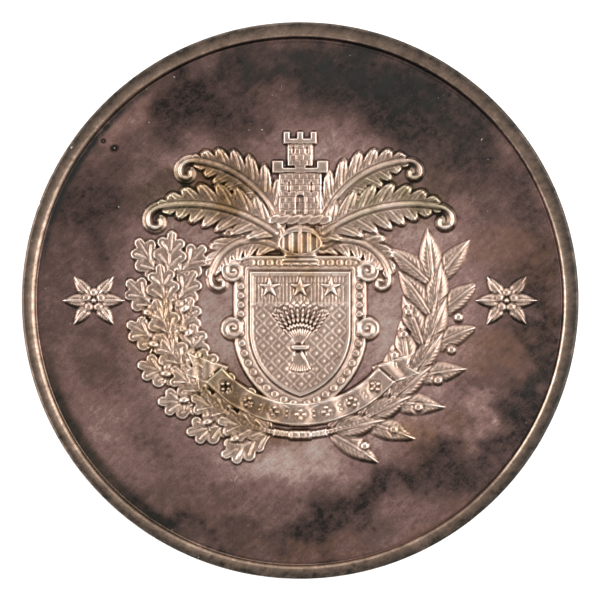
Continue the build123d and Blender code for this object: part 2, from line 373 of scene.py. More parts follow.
def insideOf(x, y, corners):
    # The distance in from the outline of a closed shape, below nothing outside it
    away, inside = np.full(np.shape(x), 1e9), np.zeros(np.shape(x), bool)
    for (ax, ay), (bx, by) in zip(corners, corners[1:] + corners[:1]):
        away = np.minimum(away, toLine(x, y, (ax, ay), (bx, by))[0])
        if ay != by:
            inside ^= ((ay > y) != (by > y)) & (x < (bx - ax) * (y - ay) / (by - ay) + ax)
    return np.where(inside, away, -away)


def layDome(sheet, place, radius, level, groove=casting["groove"], dimple=0.0):
    near, along, across = around(sheet, place, radius + 0.5)
    away = np.hypot(along, across)
    lay(sheet, near, radius - away, level, radius, -dimple * bump(away, 0.3 * radius), groove)


pointedLeaf = {
    "shape": (0.85, 0.9),  # lean and fullness
    "sharpness": 0.92,
    "run": 0.34,  # as a share of the width
    "rib": (0.06, 0.09),  # height and width
    "ribFall": 0.6,  # how much lower it is at the tip
    "furrow": (-0.05, 0.09),
    "furrowAway": 0.19,
    "vein": 0.018,
    "veinGap": 0.52,
    "veinLean": 1.1,
    "veinEnds": (0.15, 0.5),  # veins start past the first share of the half width, and are full at the second
}


def layPointedLeaf(sheet, place, heading, length, width, levels, bend=0.0, veinGap=pointedLeaf["veinGap"]):
    # A leaf with a raised rib, domed halves and fine side veins. Its level climbs from its foot to its tip.
    near, along, across = around(sheet, place, length * 1.2, heading)
    share = np.clip(along / length, 0, 1)
    across = across - bend * length * share ** 2
    half = 0.5 * width * swelling(share, *pointedLeaf["shape"])
    past = np.maximum(-along, along - length)
    sides = pointedLeaf["sharpness"] * (half - np.abs(across))
    inward = np.where(past > 0, -np.hypot(past, across), sides)
    spread = np.clip(np.abs(across) / np.maximum(half, 0.05), 0, 1)
    rib = ridge(across, pointedLeaf["rib"]) * (1 - pointedLeaf["ribFall"] * share)
    rib += ridge(np.abs(across) - pointedLeaf["furrowAway"], pointedLeaf["furrow"])
    wave = np.sin(tau * (along - pointedLeaf["veinLean"] * np.abs(across)) / veinGap)
    veins = pointedLeaf["vein"] * wave * eased(spread, *pointedLeaf["veinEnds"])
    lay(sheet, near, inward, mixed(*levels, share), pointedLeaf["run"] * width, rib + veins)


def soften(heights, cells):
    # Blurs a grid of heights over so many cells
    weights = np.cos(0.5 * pi * np.arange(-cells, cells + 1) / (cells + 1)) ** 2
    weights /= weights.sum()
    for axis in (0, 1):
        margins = [(cells, cells) if axis == k else (0, 0) for k in (0, 1)]
        wider = np.pad(heights, margins, "edge")
        heights = np.apply_along_axis(np.convolve, axis, wider, weights, "valid")
    return heights


def finishPiece(name, mesh, material):
    mesh.shade_smooth()
    piece = bpy.data.objects.new(name, mesh)
    bpy.context.scene.collection.objects.link(piece)
    piece.data.materials.append(material)
    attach(piece, "root")
    return piece


def castingTones(x, y, heights, foot):
    # Crests are rubbed, recesses hold tarnish, and painted shade falls on the lower sides of the forms
    crest, recess = 0, 0
    for cells, height, share in (castTones["closeBy"], castTones["furtherOff"]):
        level = soften(np.maximum(heights, 0), cells)
        crest = crest + eased(heights - level, 0.0, height) * share
        recess = recess + eased(level - heights, 0.0, height) * share
    # Painted shade: a point darkens where the heights a few cells further up the face stand above it
    cells, low, high, strength = castTones["shadow"]
    above = np.roll(soften(np.maximum(heights, 0), castTones["closeBy"][0]), -cells, 0)
    recess = np.maximum(recess, strength * eased(above - heights, low, high))
    raised = eased(heights, 0.0, castTones["raisedTop"])
    return {
        "raised": raised,
        "rubbed": castTones["rubbed"] * np.maximum(raised, nearness(x, y)) + castTones["crest"] * crest,
        "recess": recess,
        "gold": castTones["gold"] * recess,
        # the foot darkens, part tarnish and part painted contact shade
        "stain": castTones["stain"] * np.clip(1 - heights / castTones["stainTop"], 0, 1) * foot,
    }


def closeBelow(mesh):
    # A short upright wall runs down from the sheet's border to a floor
    made = bmesh.new()
    made.from_mesh(mesh)
    border = [edge for edge in made.edges if edge.is_boundary]
    wall = bmesh.ops.extrude_edge_only(made, edges=border)["geom"]
    low = [part for part in wall if isinstance(part, bmesh.types.BMVert)]
    bmesh.ops.translate(made, verts=low, vec=(0, 0, -casting["floorDrop"] / 1000))
    border = [edge for edge in made.edges if edge.is_boundary]
    bmesh.ops.triangle_fill(made, edges=border, use_beauty=True, use_dissolve=False)
    openEdges = sum(not edge.is_manifold for edge in made.edges)
    made.to_mesh(mesh)
    made.free()
    return openEdges


def cast(name, sheet, material):
    # Turns a sheet of heights into a closed piece that stands in the field
    heights = np.maximum(soften(sheet["h"], 1), -casting["sunk"])
    foot = soften((heights > 0).astype(float), casting["footCells"])
    skirt = casting["footHeight"] * foot - casting["footSink"]
    heights = np.where(foot > 0.01, np.maximum(heights, skirt), heights)
    standing = heights > -casting["cutDepth"] * casting["sunk"]
    shown = soften(standing.astype(float), casting["cutCells"]) > 0.05
    cells = shown[:-1, :-1] & shown[1:, :-1] & shown[:-1, 1:] & shown[1:, 1:]
    used = np.zeros(shown.shape, bool)
    for rows in (slice(None, -1), slice(1, None)):
        for columns in (slice(None, -1), slice(1, None)):
            used[rows, columns] |= cells
    index = np.full(shown.shape, -1)
    index[used] = np.arange(used.sum())
    corners = np.stack([index[:-1, :-1], index[:-1, 1:], index[1:, 1:], index[1:, :-1]], -1)[cells]
    x, y = sheet["x"], sheet["y"]
    points = np.stack([x[used], y[used], fieldHeight + heights[used]], -1) / 1000
    mesh = bpy.data.meshes.new(name)
    mesh.from_pydata(points.tolist(), [], corners.tolist())
    extra = {kind: values[used] for kind, values in castingTones(x, y, heights, foot).items()}
    paintTones(mesh, x[used], y[used], extra)
    openEdges = closeBelow(mesh)
    print(name, len(mesh.polygons), "faces,", openEdges, "open edges")
    return finishPiece(name, mesh, material)


# The silver
silver = {
    "bright": (0.88, 0.77, 0.69),  # rubbed crests
    "pink": (0.72, 0.51, 0.45),  # thin toning on the field
    "rose": (0.40, 0.245, 0.218),
    "plum": (0.200, 0.122, 0.108),  # the field's own tone
    "tan": (0.66, 0.485, 0.395),  # toning on all that is raised
    "umber": (0.33, 0.226, 0.180),
    "dark": (0.031, 0.027, 0.025),  # heavy stains
    "gold": (0.96, 0.82, 0.48),
    "olive": (0.78, 0.88, 0.66),
    "rust": (0.28, 0.15, 0.09),
    "steel": (0.050, 0.050, 0.046),
    "speck": (0.80, 0.76, 0.72),
    "pit": (0.020, 0.018, 0.017),
    "fieldStops": (("bright", 0.0), ("pink", 0.16), ("rose", 0.36), ("plum", 0.60), ("dark", 1.0)),
    "raisedStops": (("bright", 0.0), ("tan", 0.22), ("umber", 0.50), ("dark", 1.0)),
    "hues": (  # the most that each may cover, and how it is laid over what is there
        ("rust", 0.70, "MIX"),
        ("gold", 1.0, "MULTIPLY"),
        ("olive", 1.0, "MULTIPLY"),
        ("steel", 0.90, "MIX"),
    ),
    "film": 0.595,  # where nothing else changes it
    "stain": 0.40,  # how strongly each of these changes the film
    "cloud": 0.17,
    "grit": 0.36,
    "fine": 0.26,
    "streak": 0.34,
    "freckle": 0.13,
    "recess": 0.50,
    "roughness": 0.31,
    "roughMottle": 0.20,
    "roughFilm": 0.10,
    "grain": 0.16,
    "grainDepth": 0.00003,  # in metres
    "wipe": 0.5,  # how strong the wipe marks are beside the grain
    "freckleGap": 1.1,
    "freckleRagged": 0.6,
    "speckGap": 1.3,
}
# Noises: a size in millimetres, detail and roughness. A stretched one runs in streaks up the face, or in
# streaks turned from there.
noises = {
    "mottle": {"size": 1.5, "detail": 6.0, "rough": 0.75},
    "ragged": {"size": 0.9, "detail": 5.0, "rough": 0.7},
    "cloud": {"size": 7.0, "detail": 6.0, "rough": 0.6},
    "grit": {"size": 0.55, "detail": 3.0, "rough": 0.7},
    "fine": {"size": 0.20, "detail": 2.0, "rough": 0.5},
    "streak": {"size": 0.34, "detail": 4.0, "rough": 0.6, "stretch": 5, "turn": -48},
    "freckle": {"size": 0.4, "detail": 3.0, "rough": 0.6},
    "patches": {"size": 1.6, "detail": 4.0, "rough": 0.6},
    "grain": {"size": 0.11, "detail": 2.0, "rough": 0.5},
    "wipe": {"size": 0.22, "detail": 2.0, "rough": 0.5, "stretch": 20},
}
# How one value is turned into another: from and to of what comes in, and of what comes out
spreads = {
    "ragged": (-0.22, 0.22, 0.76, 1.20),
    "mottle": (0.0, 1.0, 0.60, 0.36),
    "freckle": (0.06, 0.34, 1.0, 0.0),
    "freckled": (0.25, 0.8, 0.0, 1.0),
    "patches": (-0.24, 0.18, 0.35, 1.20),
    "speck": (0.03, 0.07, 1.0, 0.0),
    "speckled": (0.55, 1.0, 0.0, 0.6),
    "mark": (0.5, 1.1, 0.9, 0.0),
}
# Single marks on the face: a middle, half the length and width, and a turn
markDepth = 2.0  # how far up and down from the field a mark still shows
marks = named(
    ("x", "y", "long", "wide", "turn", "tone"),
    (-19.04, 15.6, 0.60, 0.50, 20, "pit"),
    # a painted highlight at the bottom of the pit above
    (-19.02, 15.62, 0.08, 0.07, 0, "speck"),
    (-20.16, 16.34, 0.38, 0.34, 0, "pit"),
    # and a painted highlight in this pit too
    (-20.16, 16.34, 0.07, 0.06, 0, "rose"),
    (-23.4, 15.65, 0.17, 0.12, 56, "speck"),
    (-11.7, 18.1, 0.13, 0.11, 0, "pit"),
    (-11.8, 21.6, 0.12, 0.10, 0, "pit"),
    (-12.9, 22.9, 0.09, 0.08, 0, "speck"),
    (-18.6, 9.6, 0.09, 0.08, 0, "speck"),
    (-15.5, 18.25, 0.08, 0.07, 0, "speck"),
    (-7.05, -18.42, 0.20, 0.03, -40, "speck"),
    (-6.62, -18.25, 0.45, 0.035, 66, "speck"),
    (3.3, 19.2, 0.34, 0.035, 28, "steel"),
    (-1.9, 21.9, 0.32, 0.04, 84, "rose"),
    (18.6, 16.5, 0.16, 0.05, 60, "speck"),
    (11.2, 17.9, 0.12, 0.11, 0, "pit"),
    (12.1, 16.3, 0.16, 0.10, 20, "pit"),
    (-13.8, 18.7, 0.13, 0.11, 0, "pit"),
    (-3.9, 17.5, 0.10, 0.09, 0, "speck"),
)


def tonedSilver(name):
    # Silver under a film of toning. The film runs from 0, bare and bright, to 1, nearly black.
    material = bpy.data.materials.new(name)
    material.use_nodes = True
    tree = material.node_tree
    shader = tree.nodes["Principled BSDF"]
    shader.inputs["Metallic"].default_value = 1.0

    def node(kind, **settings):
        made = tree.nodes.new("ShaderNode" + kind)
        for key, value in settings.items():
            setattr(made, key, value)
        return made

    def feed(socket, value):
        if isinstance(value, bpy.types.NodeSocket):
            tree.links.new(value, socket)
        else:
            socket.default_value = value

    def maths(kind, a, b, clamp=False):
        made = node("Math", operation=kind, use_clamp=clamp)
        feed(made.inputs[0], a)
        feed(made.inputs[1], b)
        return made.outputs[0]

    def added(value, more, strength):
        return maths("ADD", value, maths("MULTIPLY", more, strength))

    def noise(kind):
        # A noise from about -0.5 to 0.5
        form = noises[kind]
        mapping = node("Mapping", vector_type="TEXTURE")
        mapping.inputs["Rotation"].default_value = (0, 0, radians(form.get("turn", 0)))
        mapping.inputs["Scale"].default_value = (1, form.get("stretch", 1), 1)
        tree.links.new(coordinates, mapping.inputs["Vector"])
        pattern = node("TexNoise")
        pattern.inputs["Scale"].default_value = 1000 / form["size"]
        pattern.inputs["Detail"].default_value = form["detail"]
        pattern.inputs["Roughness"].default_value = form["rough"]
        tree.links.new(mapping.outputs["Vector"], pattern.inputs["Vector"])
        return maths("SUBTRACT", pattern.outputs["Fac"], 0.5)

    def spots(gap):
        # Points scattered about a gap apart: how far away the nearest is, and a random number for it
        pattern = node("TexVoronoi", feature="F1")
        pattern.inputs["Scale"].default_value = 1000 / gap
        tree.links.new(coordinates, pattern.inputs["Vector"])
        picked = node("SeparateColor")
        tree.links.new(pattern.outputs["Color"], picked.inputs["Color"])
        return pattern.outputs["Distance"], picked.outputs["Red"]

    def tone(kind):
        return node("Attribute", attribute_name=kind).outputs["Fac"]

    def spread(value, kind):
        made = node("MapRange", interpolation_type="SMOOTHSTEP")
        for key, number in zip(("From Min", "From Max", "To Min", "To Max"), spreads[kind]):
            made.inputs[key].default_value = number
        tree.links.new(value, made.inputs["Value"])
        return made.outputs["Result"]

    def tinted(share, under, over, way="MIX"):
        made = node("Mix", data_type="RGBA", blend_type=way)
        feed(made.inputs["Factor"], share)
        feed(made.inputs["A"], under)
        feed(made.inputs["B"], over)
        return made.outputs["Result"]

    def ramped(stops):
        made = node("ValToRGB")
        tree.links.new(film, made.inputs["Fac"])
        while len(made.color_ramp.elements) < len(stops):
            made.color_ramp.elements.new(0.5)
        for element, (colour, place) in zip(made.color_ramp.elements, stops):
            element.position = place
            element.color = (*silver[colour], 1)
        return made.outputs["Color"]

    coordinates = node("TexCoord").outputs["Object"]
    mottle = noise("mottle")
    stain = maths("MULTIPLY", tone("stain"), spread(noise("ragged"), "ragged"))
    film = added(silver["film"], stain, silver["stain"])
    film = added(film, noise("cloud"), silver["cloud"])
    film = added(film, mottle, spread(tone("raised"), "mottle"))
    for kind in ("grit", "fine", "streak"):
        film = added(film, noise(kind), silver[kind])
    # Dark freckles
    distance, picked = spots(silver["freckleGap"])
    freckle = spread(added(distance, noise("freckle"), silver["freckleRagged"]), "freckle")
    film = added(film, maths("MULTIPLY", freckle, spread(picked, "freckled")), silver["freckle"])
    # Rubbed thins the film: wear, and on the rim also a painted sheen and glint. Recess thickens it: tarnish
    # in hollows, and painted shade below the forms.
    film = maths("SUBTRACT", film, tone("rubbed"))
    film = maths("ADD", film, maths("MULTIPLY", tone("recess"), silver["recess"]), clamp=True)
    colour = tinted(tone("raised"), ramped(silver["fieldStops"]), ramped(silver["raisedStops"]))
    patches = spread(noise("patches"), "patches")
    for kind, most, way in silver["hues"]:
        share = maths("MULTIPLY", maths("MULTIPLY", tone(kind), patches), most, clamp=True)
        colour = tinted(share, colour, (*silver[kind], 1), way)
    # Specks of dust and tiny bright nicks
    distance, picked = spots(silver["speckGap"])
    speck = maths("MULTIPLY", spread(distance, "speck"), spread(picked, "speckled"))
    colour = tinted(speck, colour, (*silver["speck"], 1))
    for mark in marks:
        place = node("Mapping", vector_type="TEXTURE")
        place.inputs["Location"].default_value = [v / 1000 for v in (mark["x"], mark["y"], fieldHeight)]
        place.inputs["Rotation"].default_value = (0, 0, radians(mark["turn"]))
        place.inputs["Scale"].default_value = [v / 1000 for v in (mark["long"], mark["wide"], markDepth)]
        tree.links.new(coordinates, place.inputs["Vector"])
        away = node("VectorMath", operation="LENGTH")
        tree.links.new(place.outputs["Vector"], away.inputs[0])
        colour = tinted(spread(away.outputs["Value"], "mark"), colour, (*silver[mark["tone"]], 1))
    tree.links.new(colour, shader.inputs["Base Color"])
    rough = added(added(silver["roughness"], mottle, silver["roughMottle"]), film, silver["roughFilm"])
    tree.links.new(rough, shader.inputs["Roughness"])
    # The skin: a fine grain, and faint long wipe marks
    height = added(noise("grain"), noise("wipe"), silver["wipe"])
    skin = node("Bump")
    skin.inputs["Strength"].default_value = silver["grain"]
    skin.inputs["Distance"].default_value = silver["grainDepth"]
    tree.links.new(height, skin.inputs["Height"])
    tree.links.new(skin.outputs["Normal"], shader.inputs["Normal"])
    return material


medalSilver = tonedSilver("medalSilver")
print("silver ready")


# The struck disc
# Nicks in the rim: the angle from the right, the radius, how wide and how deep
rimNicks = named(
    ("angle", "radius", "wide", "deep"),
    (146.2, 28.2, 0.34, 0.16),
    (152.5, 28.45, 0.25, 0.09),
    (159.7, 28.5, 0.34, 0.14),
    (128.6, 28.45, 0.22, 0.07),
    (96.0, 28.4, 0.30, 0.06),
    (171.0, 28.45, 0.24, 0.06),
    (214.0, 28.4, 0.28, 0.06),
    (262.0, 28.45, 0.24, 0.05),
    (331.0, 28.4, 0.28, 0.06),
    (38.0, 28.45, 0.26, 0.06),
)
# Bands round the face, of tone, and along the inner shoulder a painted glint. Each lies at a radius and faces
# one direction. The other two numbers are the cosines from that direction where it begins and where it has
# its full strength.
rimBands = {
    # the shoulder band is a painted glint along the inner shoulder on the right
    "shoulder": {"radius": disc["wallTop"] + 0.12, "wide": 0.18, "facing": (-10, 0.80, 0.96)},
    "steely": {"radius": disc["wallFoot"] - 0.26, "wide": 0.30, "facing": (148, 0.88, 0.99)},
    "sooty": {"radius": disc["wallFoot"] - 0.32, "wide": 0.52, "facing": (219, 0.86, 0.97)},
    "doubled": {"radius": 26.50, "wide": 0.06, "facing": (70, 0.85, 0.95)},
}
rimTones = {
    "innerEnds": (0.06, 0.05),  # the rim's tones start before the wall's top, and are full past it
    "outerEnds": (0.30, 0.10),  # and on the side they do so within these of the edge
    "sideHeights": (0.55, 0.95),  # shares of the thickness: the side is toned from the first up
    "outwards": (0.40, 0.75),  # past the wall's top the rim darkens, and is darkest after this much more
    "darkest": 1.25,
    "darkestFacing": (-35, 0.4, 0.8),
    "stain": (0.30, 0.66),  # low on the side, and on the front
    # wear all round, and on the left more wear together with a painted sheen
    "wornAndSheen": (0.04, 0.22),  # elsewhere, and on the left
    "wornAndSheenFacing": (181, 0.75, 0.99),
    "wornAndSheenFall": 0.2,
    # shoulder is the strength of the painted glint along the inner shoulder
    "shoulder": 0.4,
    "greyed": (0.32, 0.62),  # elsewhere, and on the right
    "greyedFacing": (15, 0.1, 0.8),
    "olive": 0.25,
    "wallLine": (0.35, 0.75),  # elsewhere, and at the top
    "wallLineWide": 0.09,
    "wallLineFacing": (75, 0.3, 0.8),
    "rubbedField": 0.30,
    "doubled": 0.6,
    "sooty": {"stain": 0.8, "olive": 0.6, "steel": 0.5},
    "steely": 1.5,
    "mottle": 0.09,
    "mottleSizes": (2.4, 0.7),
    "mottleSeed": 61,
    "patchesHidden": 0.85,  # how much less the face's patches show on the rim
}


def discProfile():
    # Points of the half section as (radius, height), from near the middle of the back round to the front
    outer, top, rounding = disc["radius"], disc["thickness"], disc["edgeRound"]
    backSteps, sideSteps, frontSteps = disc["edgeSteps"]
    lipAcross, lipUp = disc["backLip"]
    points = [(r, disc["backRecess"]) for r in (*disc["backRings"], fieldRadius)]
    points.append((mixed(fieldRadius, landRadius, 0.5), 0.5 * disc["backRecess"]))
    points += [(landRadius, lipUp), (landRadius + lipAcross, 0.0)]
    points += [(outer - rounding + rounding * sin(a), rounding - rounding * cos(a))
               for a in np.linspace(0, pi / 2, backSteps)]
    points += [(outer, z) for z in np.linspace(rounding, top - rounding, sideSteps)[1:-1]]
    points += [(outer - rounding + rounding * cos(a), top - rounding + rounding * sin(a))
               for a in np.linspace(0, pi / 2, frontSteps)]
    # The land falls gently inwards from its crest
    crest = outer - rounding - disc["crestInset"]
    shoulder = disc["wallTop"] + disc["shoulderRun"]
    for r in np.linspace(crest, shoulder, disc["landSteps"]):
        level = top - disc["landFall"] * ((crest - r) / (crest - shoulder)) ** 2
        points.append((r, level))
    # Its inner shoulder rounds over ever more steeply
    steps = disc["shoulderSteps"]
    for i in range(steps):
        slope = radians(mixed(*disc["shoulderSlopes"], (i + 0.5) / steps))
        level -= disc["shoulderRun"] / steps * sin(slope) / cos(slope)
        points.append((shoulder - disc["shoulderRun"] * (i + 1) / steps, level))
    wallEnd = fieldHeight + disc["footRound"][0][1]
    points += [(mixed(disc["wallTop"], disc["wallFoot"], share), mixed(level, wallEnd, share))
               for share in disc["wallSteps"]]
    points += [(disc["wallFoot"] - inwards, fieldHeight + up) for inwards, up in disc["footRound"][1:]]
    points += [(r, fieldHeight) for r in (*disc["closeRings"], *np.linspace(*disc["innerRings"]))]
    return points


def toneDisc(mesh, points):
    x, y, z = points.T
    far, angle = np.hypot(x, y), np.arctan2(y, x)
    before, past = rimTones["innerEnds"]
    onFace = z > fieldHeight - 0.01
    offBack = z > disc["backRecess"] + 0.01
    onRim = onFace * eased(far, disc["wallTop"] - before, disc["wallTop"] + past)
    onRim = np.maximum(onRim, eased(far, *(disc["radius"] - short for short in rimTones["outerEnds"])))
    onSide = eased(z, *(share * disc["thickness"] for share in rimTones["sideHeights"]))

    def facing(degrees, starts, full):
        # 1 where the rim lies in a direction, down to none away from it
        return eased(np.cos(angle - radians(degrees)), starts, full)

    def band(kind):
        row = rimBands[kind]
        return bump(far - row["radius"], row["wide"]) * facing(*row["facing"])

    def stronger(kind):
        # A tone that has one strength all round, and another in the direction that it faces
        return mixed(*rimTones[kind], facing(*rimTones[kind + "Facing"]))

    # The rim darkens ever more towards its edge. It is lighter on the left, part wear and part painted sheen,
    # and a painted glint runs along its inner shoulder on the right
    start, run = rimTones["outwards"]
    outwards = np.clip((far - disc["wallTop"] - start) / run, 0, 1)
    wornAndSheen = stronger("wornAndSheen") * (1 - rimTones["wornAndSheenFall"] * outwards) + rimTones["shoulder"] * band("shoulder")
    outwards = outwards * mixed(1, rimTones["darkest"], facing(*rimTones["darkestFacing"]))
    greyed = stronger("greyed") * outwards * onSide
    # Dark bands lie in the field beside the rim: a steely one at the upper left, a sooty one below it
    steely, sooty = band("steely"), band("sooty")
    # A second thin line runs along the wall's foot at the top of the face
    doubled = rimTones["doubled"] * band("doubled") * onFace
    wallLine = stronger("wallLine") * bump(far - disc["wallFoot"], rimTones["wallLineWide"])
    # The mottling runs on over the edge and down the side as if that were laid out flat
    laidOut = 1 + (disc["thickness"] - z) / np.maximum(far, 1)
    mottled = sum(rimTones["mottle"] * clouds(x * laidOut, y * laidOut, size, rimTones["mottleSeed"])
                  for size in rimTones["mottleSizes"])
    soot = rimTones["sooty"]
    stain = mixed(*rimTones["stain"], onSide) * outwards + mottled
    paintTones(mesh, x, y, {
        "raised": onRim,
        # rubbed on the rim: wear, with the painted sheen on the left and the painted glint on the shoulder
        "rubbed": rimTones["rubbedField"] * nearness(x, y) * onFace + wornAndSheen * onRim,
        "recess": wallLine * onFace,
        "stain": stain * onRim + doubled + soot["stain"] * sooty * onFace,
        "olive": rimTones["olive"] * onRim + soot["olive"] * sooty * onFace,
        "steel": (rimTones["steely"] * steely + soot["steel"] * sooty) * onFace + greyed * onRim,
    }, (1 - rimTones["patchesHidden"] * onRim) * offBack)


def strikeDisc():
    radii, levels = np.array(discProfile()).T
    angles = np.arange(disc["segments"]) * tau / disc["segments"]
    x, y = np.outer(radii, np.cos(angles)), np.outer(radii, np.sin(angles))
    z = np.repeat(levels[:, None], len(angles), 1)
    onFront = levels[:, None] > 0.5 * disc["thickness"]
    past, short = disc["offCentreEnds"]
    inside = onFront * (1 - eased(radii[:, None], disc["wallTop"] + past, disc["radius"] - short))
    x, y = x + disc["offCentre"][0] * inside, y + disc["offCentre"][1] * inside
    for nick in rimNicks:
        place = nick["radius"] * cos(radians(nick["angle"])), nick["radius"] * sin(radians(nick["angle"]))
        dent = nick["deep"] * bump(np.hypot(x - place[0], y - place[1]), 0.5 * nick["wide"]) * onFront
        z -= dent
        pulled = 1 - disc["nickPull"] * dent / disc["radius"]
        x, y = x * pulled, y * pulled
    rings, count = x.shape
    middles = [[0, 0, disc["backRecess"]], [0, 0, fieldHeight]]
    points = np.vstack([np.stack([x, y, z], -1).reshape(-1, 3), middles])
    ring, spoke = np.meshgrid(np.arange(rings - 1), np.arange(count), indexing="ij")
    following = (spoke + 1) % count
    quads = np.stack([ring * count + spoke, ring * count + following,
                      (ring + 1) * count + following, (ring + 1) * count + spoke], -1).reshape(-1, 4).tolist()
    back, front, last = rings * count, rings * count + 1, (rings - 1) * count
    fans = [[back, (i + 1) % count, i] for i in range(count)]
    fans += [[front, last + i, last + (i + 1) % count] for i in range(count)]
    mesh = bpy.data.meshes.new("medalBody")
    mesh.from_pydata((points / 1000).tolist(), [], quads + fans)
    toneDisc(mesh, points)
    body = finishPiece("medalBody", mesh, medalSilver)
    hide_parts("medal")
    print("medalBody", len(mesh.polygons), "faces")


strikeDisc()


# The wreath
wreath = {
    "radius": 0.720 * reach,
    "start": 12.0,
    "end": 96.0,
    "groups": 7,
    "splay": 38.0,
    "stemWidth": 0.040 * reach,
    "stemTaper": (1.25, 1.1, 0.7),  # at its cut tip, at the bottom of the face and at its end
    "stemLevel": 0.33,
    "stemRun": 0.34,
    "bark": 0.02,
    "barkGap": 1.9,
    "barkLean": 5,
    "top": 8.0,  # how far up and past the middle its sheets go
    "pastMiddle": 4.5,
    "margin": 4.2,
}
laurelLeaf = {
    "length": 0.320 * reach,
    "width": 0.125 * reach,
    "levels": (0.24, 0.36),  # at the leaf's foot and at its tip
    "middleLevels": (0.32, 0.46),  # the same for the middle leaf of a group
    "bend": 0.10,
    "berry": 0.030 * reach,
    "berryAside": 0.42,  # as a share of the leaf's length
    "berryLevel": 0.40,
    "berryGroove": 0.08,
    "berryDimple": 0.06,
}
# Where along and across an oak leaf its parts lie is given as shares of its length and its width
oakLeaf = {
    "length": 0.320 * reach,
    "width": 0.180 * reach,
    "levels": (0.20, 0.32),
    "middleLevels": (0.30, 0.42),
    "body": 0.84,
    "bodyHalf": (0.05, 0.31),
    "tip": (0.74, 0.86),
    "tipHalf": 0.17,
    "lobeFeet": (0.12, 0.54),
    "lobeSizes": (0.78, 1.0, 0.84),
    "lobeReach": (0.19, 0.31),
    "lobeHalf": (0.10, 0.22),
    "blend": 0.08,
    "vein": 0.05,
    "veinWidth": 0.09,
    "cup": -0.07,
    "cupRun": (0.12, 0.36),
    "wave": 0.015,
    "waveSize": 1.4,
    "waveSeed": 51,
    "waves": 10,
    "rise": 0.03,
    "run": 0.32,
}
# An acorn's parts are given as shares of its size: each oval's middle, half length and half width
acorn = {
    "size": 0.095 * reach,
    "aside": 0.36,  # as a share of the leaf's length
    "turn": 40,
    "stalk": (-0.25, 0.15),
    "stalkHalf": 0.14,
    "stalkLevel": 0.26,
    "nut": (0.62, 0.44, 0.30),
    "nutLevel": 0.36,
    "tip": (0.95, 1.12),
    "tipHalf": 0.07,
    "blend": 0.03,
    "cup": (0.27, 0.28, 0.38),
    "cupDepth": 0.32,
    "cupLevel": 0.42,
    "run": 0.30,
    "knob": 0.03,
    "knobGap": 0.26,
}


def wreathSpots(side):
    # Each group's place and heading, from the end of the branch back to its foot
    for i in reversed(range(wreath["groups"])):
        angle = mixed(wreath["start"], wreath["end"], i / (wreath["groups"] - 1))
        x, y = onCircle(wreath["radius"], angle)
        yield (side * x, y), angle if side > 0 else 180 - angle


def layStem(sheet, side):
    # The branch's own stem. Past the tie it ends in a cut tip on the other side.
    x, y = side * sheet["x"], sheet["y"]
    angle = np.degrees(np.arctan2(x, -y))
    away = np.abs(np.hypot(x, y) - wreath["radius"])
    taper = np.interp(angle, [-wreath["start"], 0, wreath["end"]], wreath["stemTaper"])
    half = 0.5 * wreath["stemWidth"] * taper
    ends = wreath["radius"] * np.radians(np.minimum(angle + wreath["start"], wreath["end"] - angle))
    near = (away < 1.2) & (ends > -1)
    bark = wreath["bark"] * np.sin(tau * angle / wreath["barkGap"] + wreath["barkLean"] * away)
    lay(sheet, near, np.minimum(half - away, ends)[near], wreath["stemLevel"], wreath["stemRun"], bark[near])


def layOakLeaf(sheet, place, heading, levels):
    length, width, blend = oakLeaf["length"], oakLeaf["width"], oakLeaf["blend"]
    near, along, across = around(sheet, place, length * 1.15, heading)
    away, share = toLine(along, across, (0, 0), (oakLeaf["body"] * length, 0))
    inward = mixed(*oakLeaf["bodyHalf"], np.sin(pi * np.clip(share * 1.05, 0, 1))) * width - away
    tip = toBar(along, across, *(share * length for share in oakLeaf["tip"]))
    inward = merged(inward, oakLeaf["tipHalf"] * width - tip, blend)
    veins = bump(across, oakLeaf["veinWidth"]) * (1 - 0.5 * share)
    out, aside = oakLeaf["lobeReach"]
    least, most = oakLeaf["lobeHalf"]
    last = len(oakLeaf["lobeSizes"]) - 1
    for i, size in enumerate(oakLeaf["lobeSizes"]):
        foot = mixed(*oakLeaf["lobeFeet"], i / last) * length
        for side in (1, -1):
            tip = (foot + out * length, side * aside * width * size)
            lobe, part = toLine(along, across, (foot, 0), tip)
            inward = merged(inward, mixed(least, most * size, part) * width - lobe, blend)
            veins = np.maximum(veins, 0.8 * bump(lobe, oakLeaf["veinWidth"]))
    cupped = oakLeaf["cup"] * eased(inward, *oakLeaf["cupRun"]) * (1 - veins)
    wavy = oakLeaf["wave"] * clouds(along, across, oakLeaf["waveSize"], oakLeaf["waveSeed"], oakLeaf["waves"])
    level = mixed(*levels, np.clip(along / length, 0, 1)) + oakLeaf["rise"]
    lay(sheet, near, inward, level, oakLeaf["run"], oakLeaf["vein"] * veins + cupped + wavy)


def layAcorn(sheet, place, heading):
    size, run = acorn["size"], acorn["run"] * acorn["size"]
    near, along, across = around(sheet, place, size * 1.4, heading)
    stalk = toBar(along, across, *(share * size for share in acorn["stalk"]))
    lay(sheet, near, acorn["stalkHalf"] - stalk, acorn["stalkLevel"], acorn["stalkHalf"])
    nut = inOval(along, across, *(share * size for share in acorn["nut"])) * acorn["nut"][2] * size
    tip = toBar(along, across, *(share * size for share in acorn["tip"]))
    lay(sheet, near, merged(nut, acorn["tipHalf"] - tip, acorn["blend"]), acorn["nutLevel"], run)
    cup = inOval(along, across, *(share * size for share in acorn["cup"])) * acorn["cupDepth"] * size
    knobs = acorn["knob"] * np.sin(tau * along / acorn["knobGap"]) * np.sin(tau * across / acorn["knobGap"])
    lay(sheet, near, cup, acorn["cupLevel"], run, knobs)


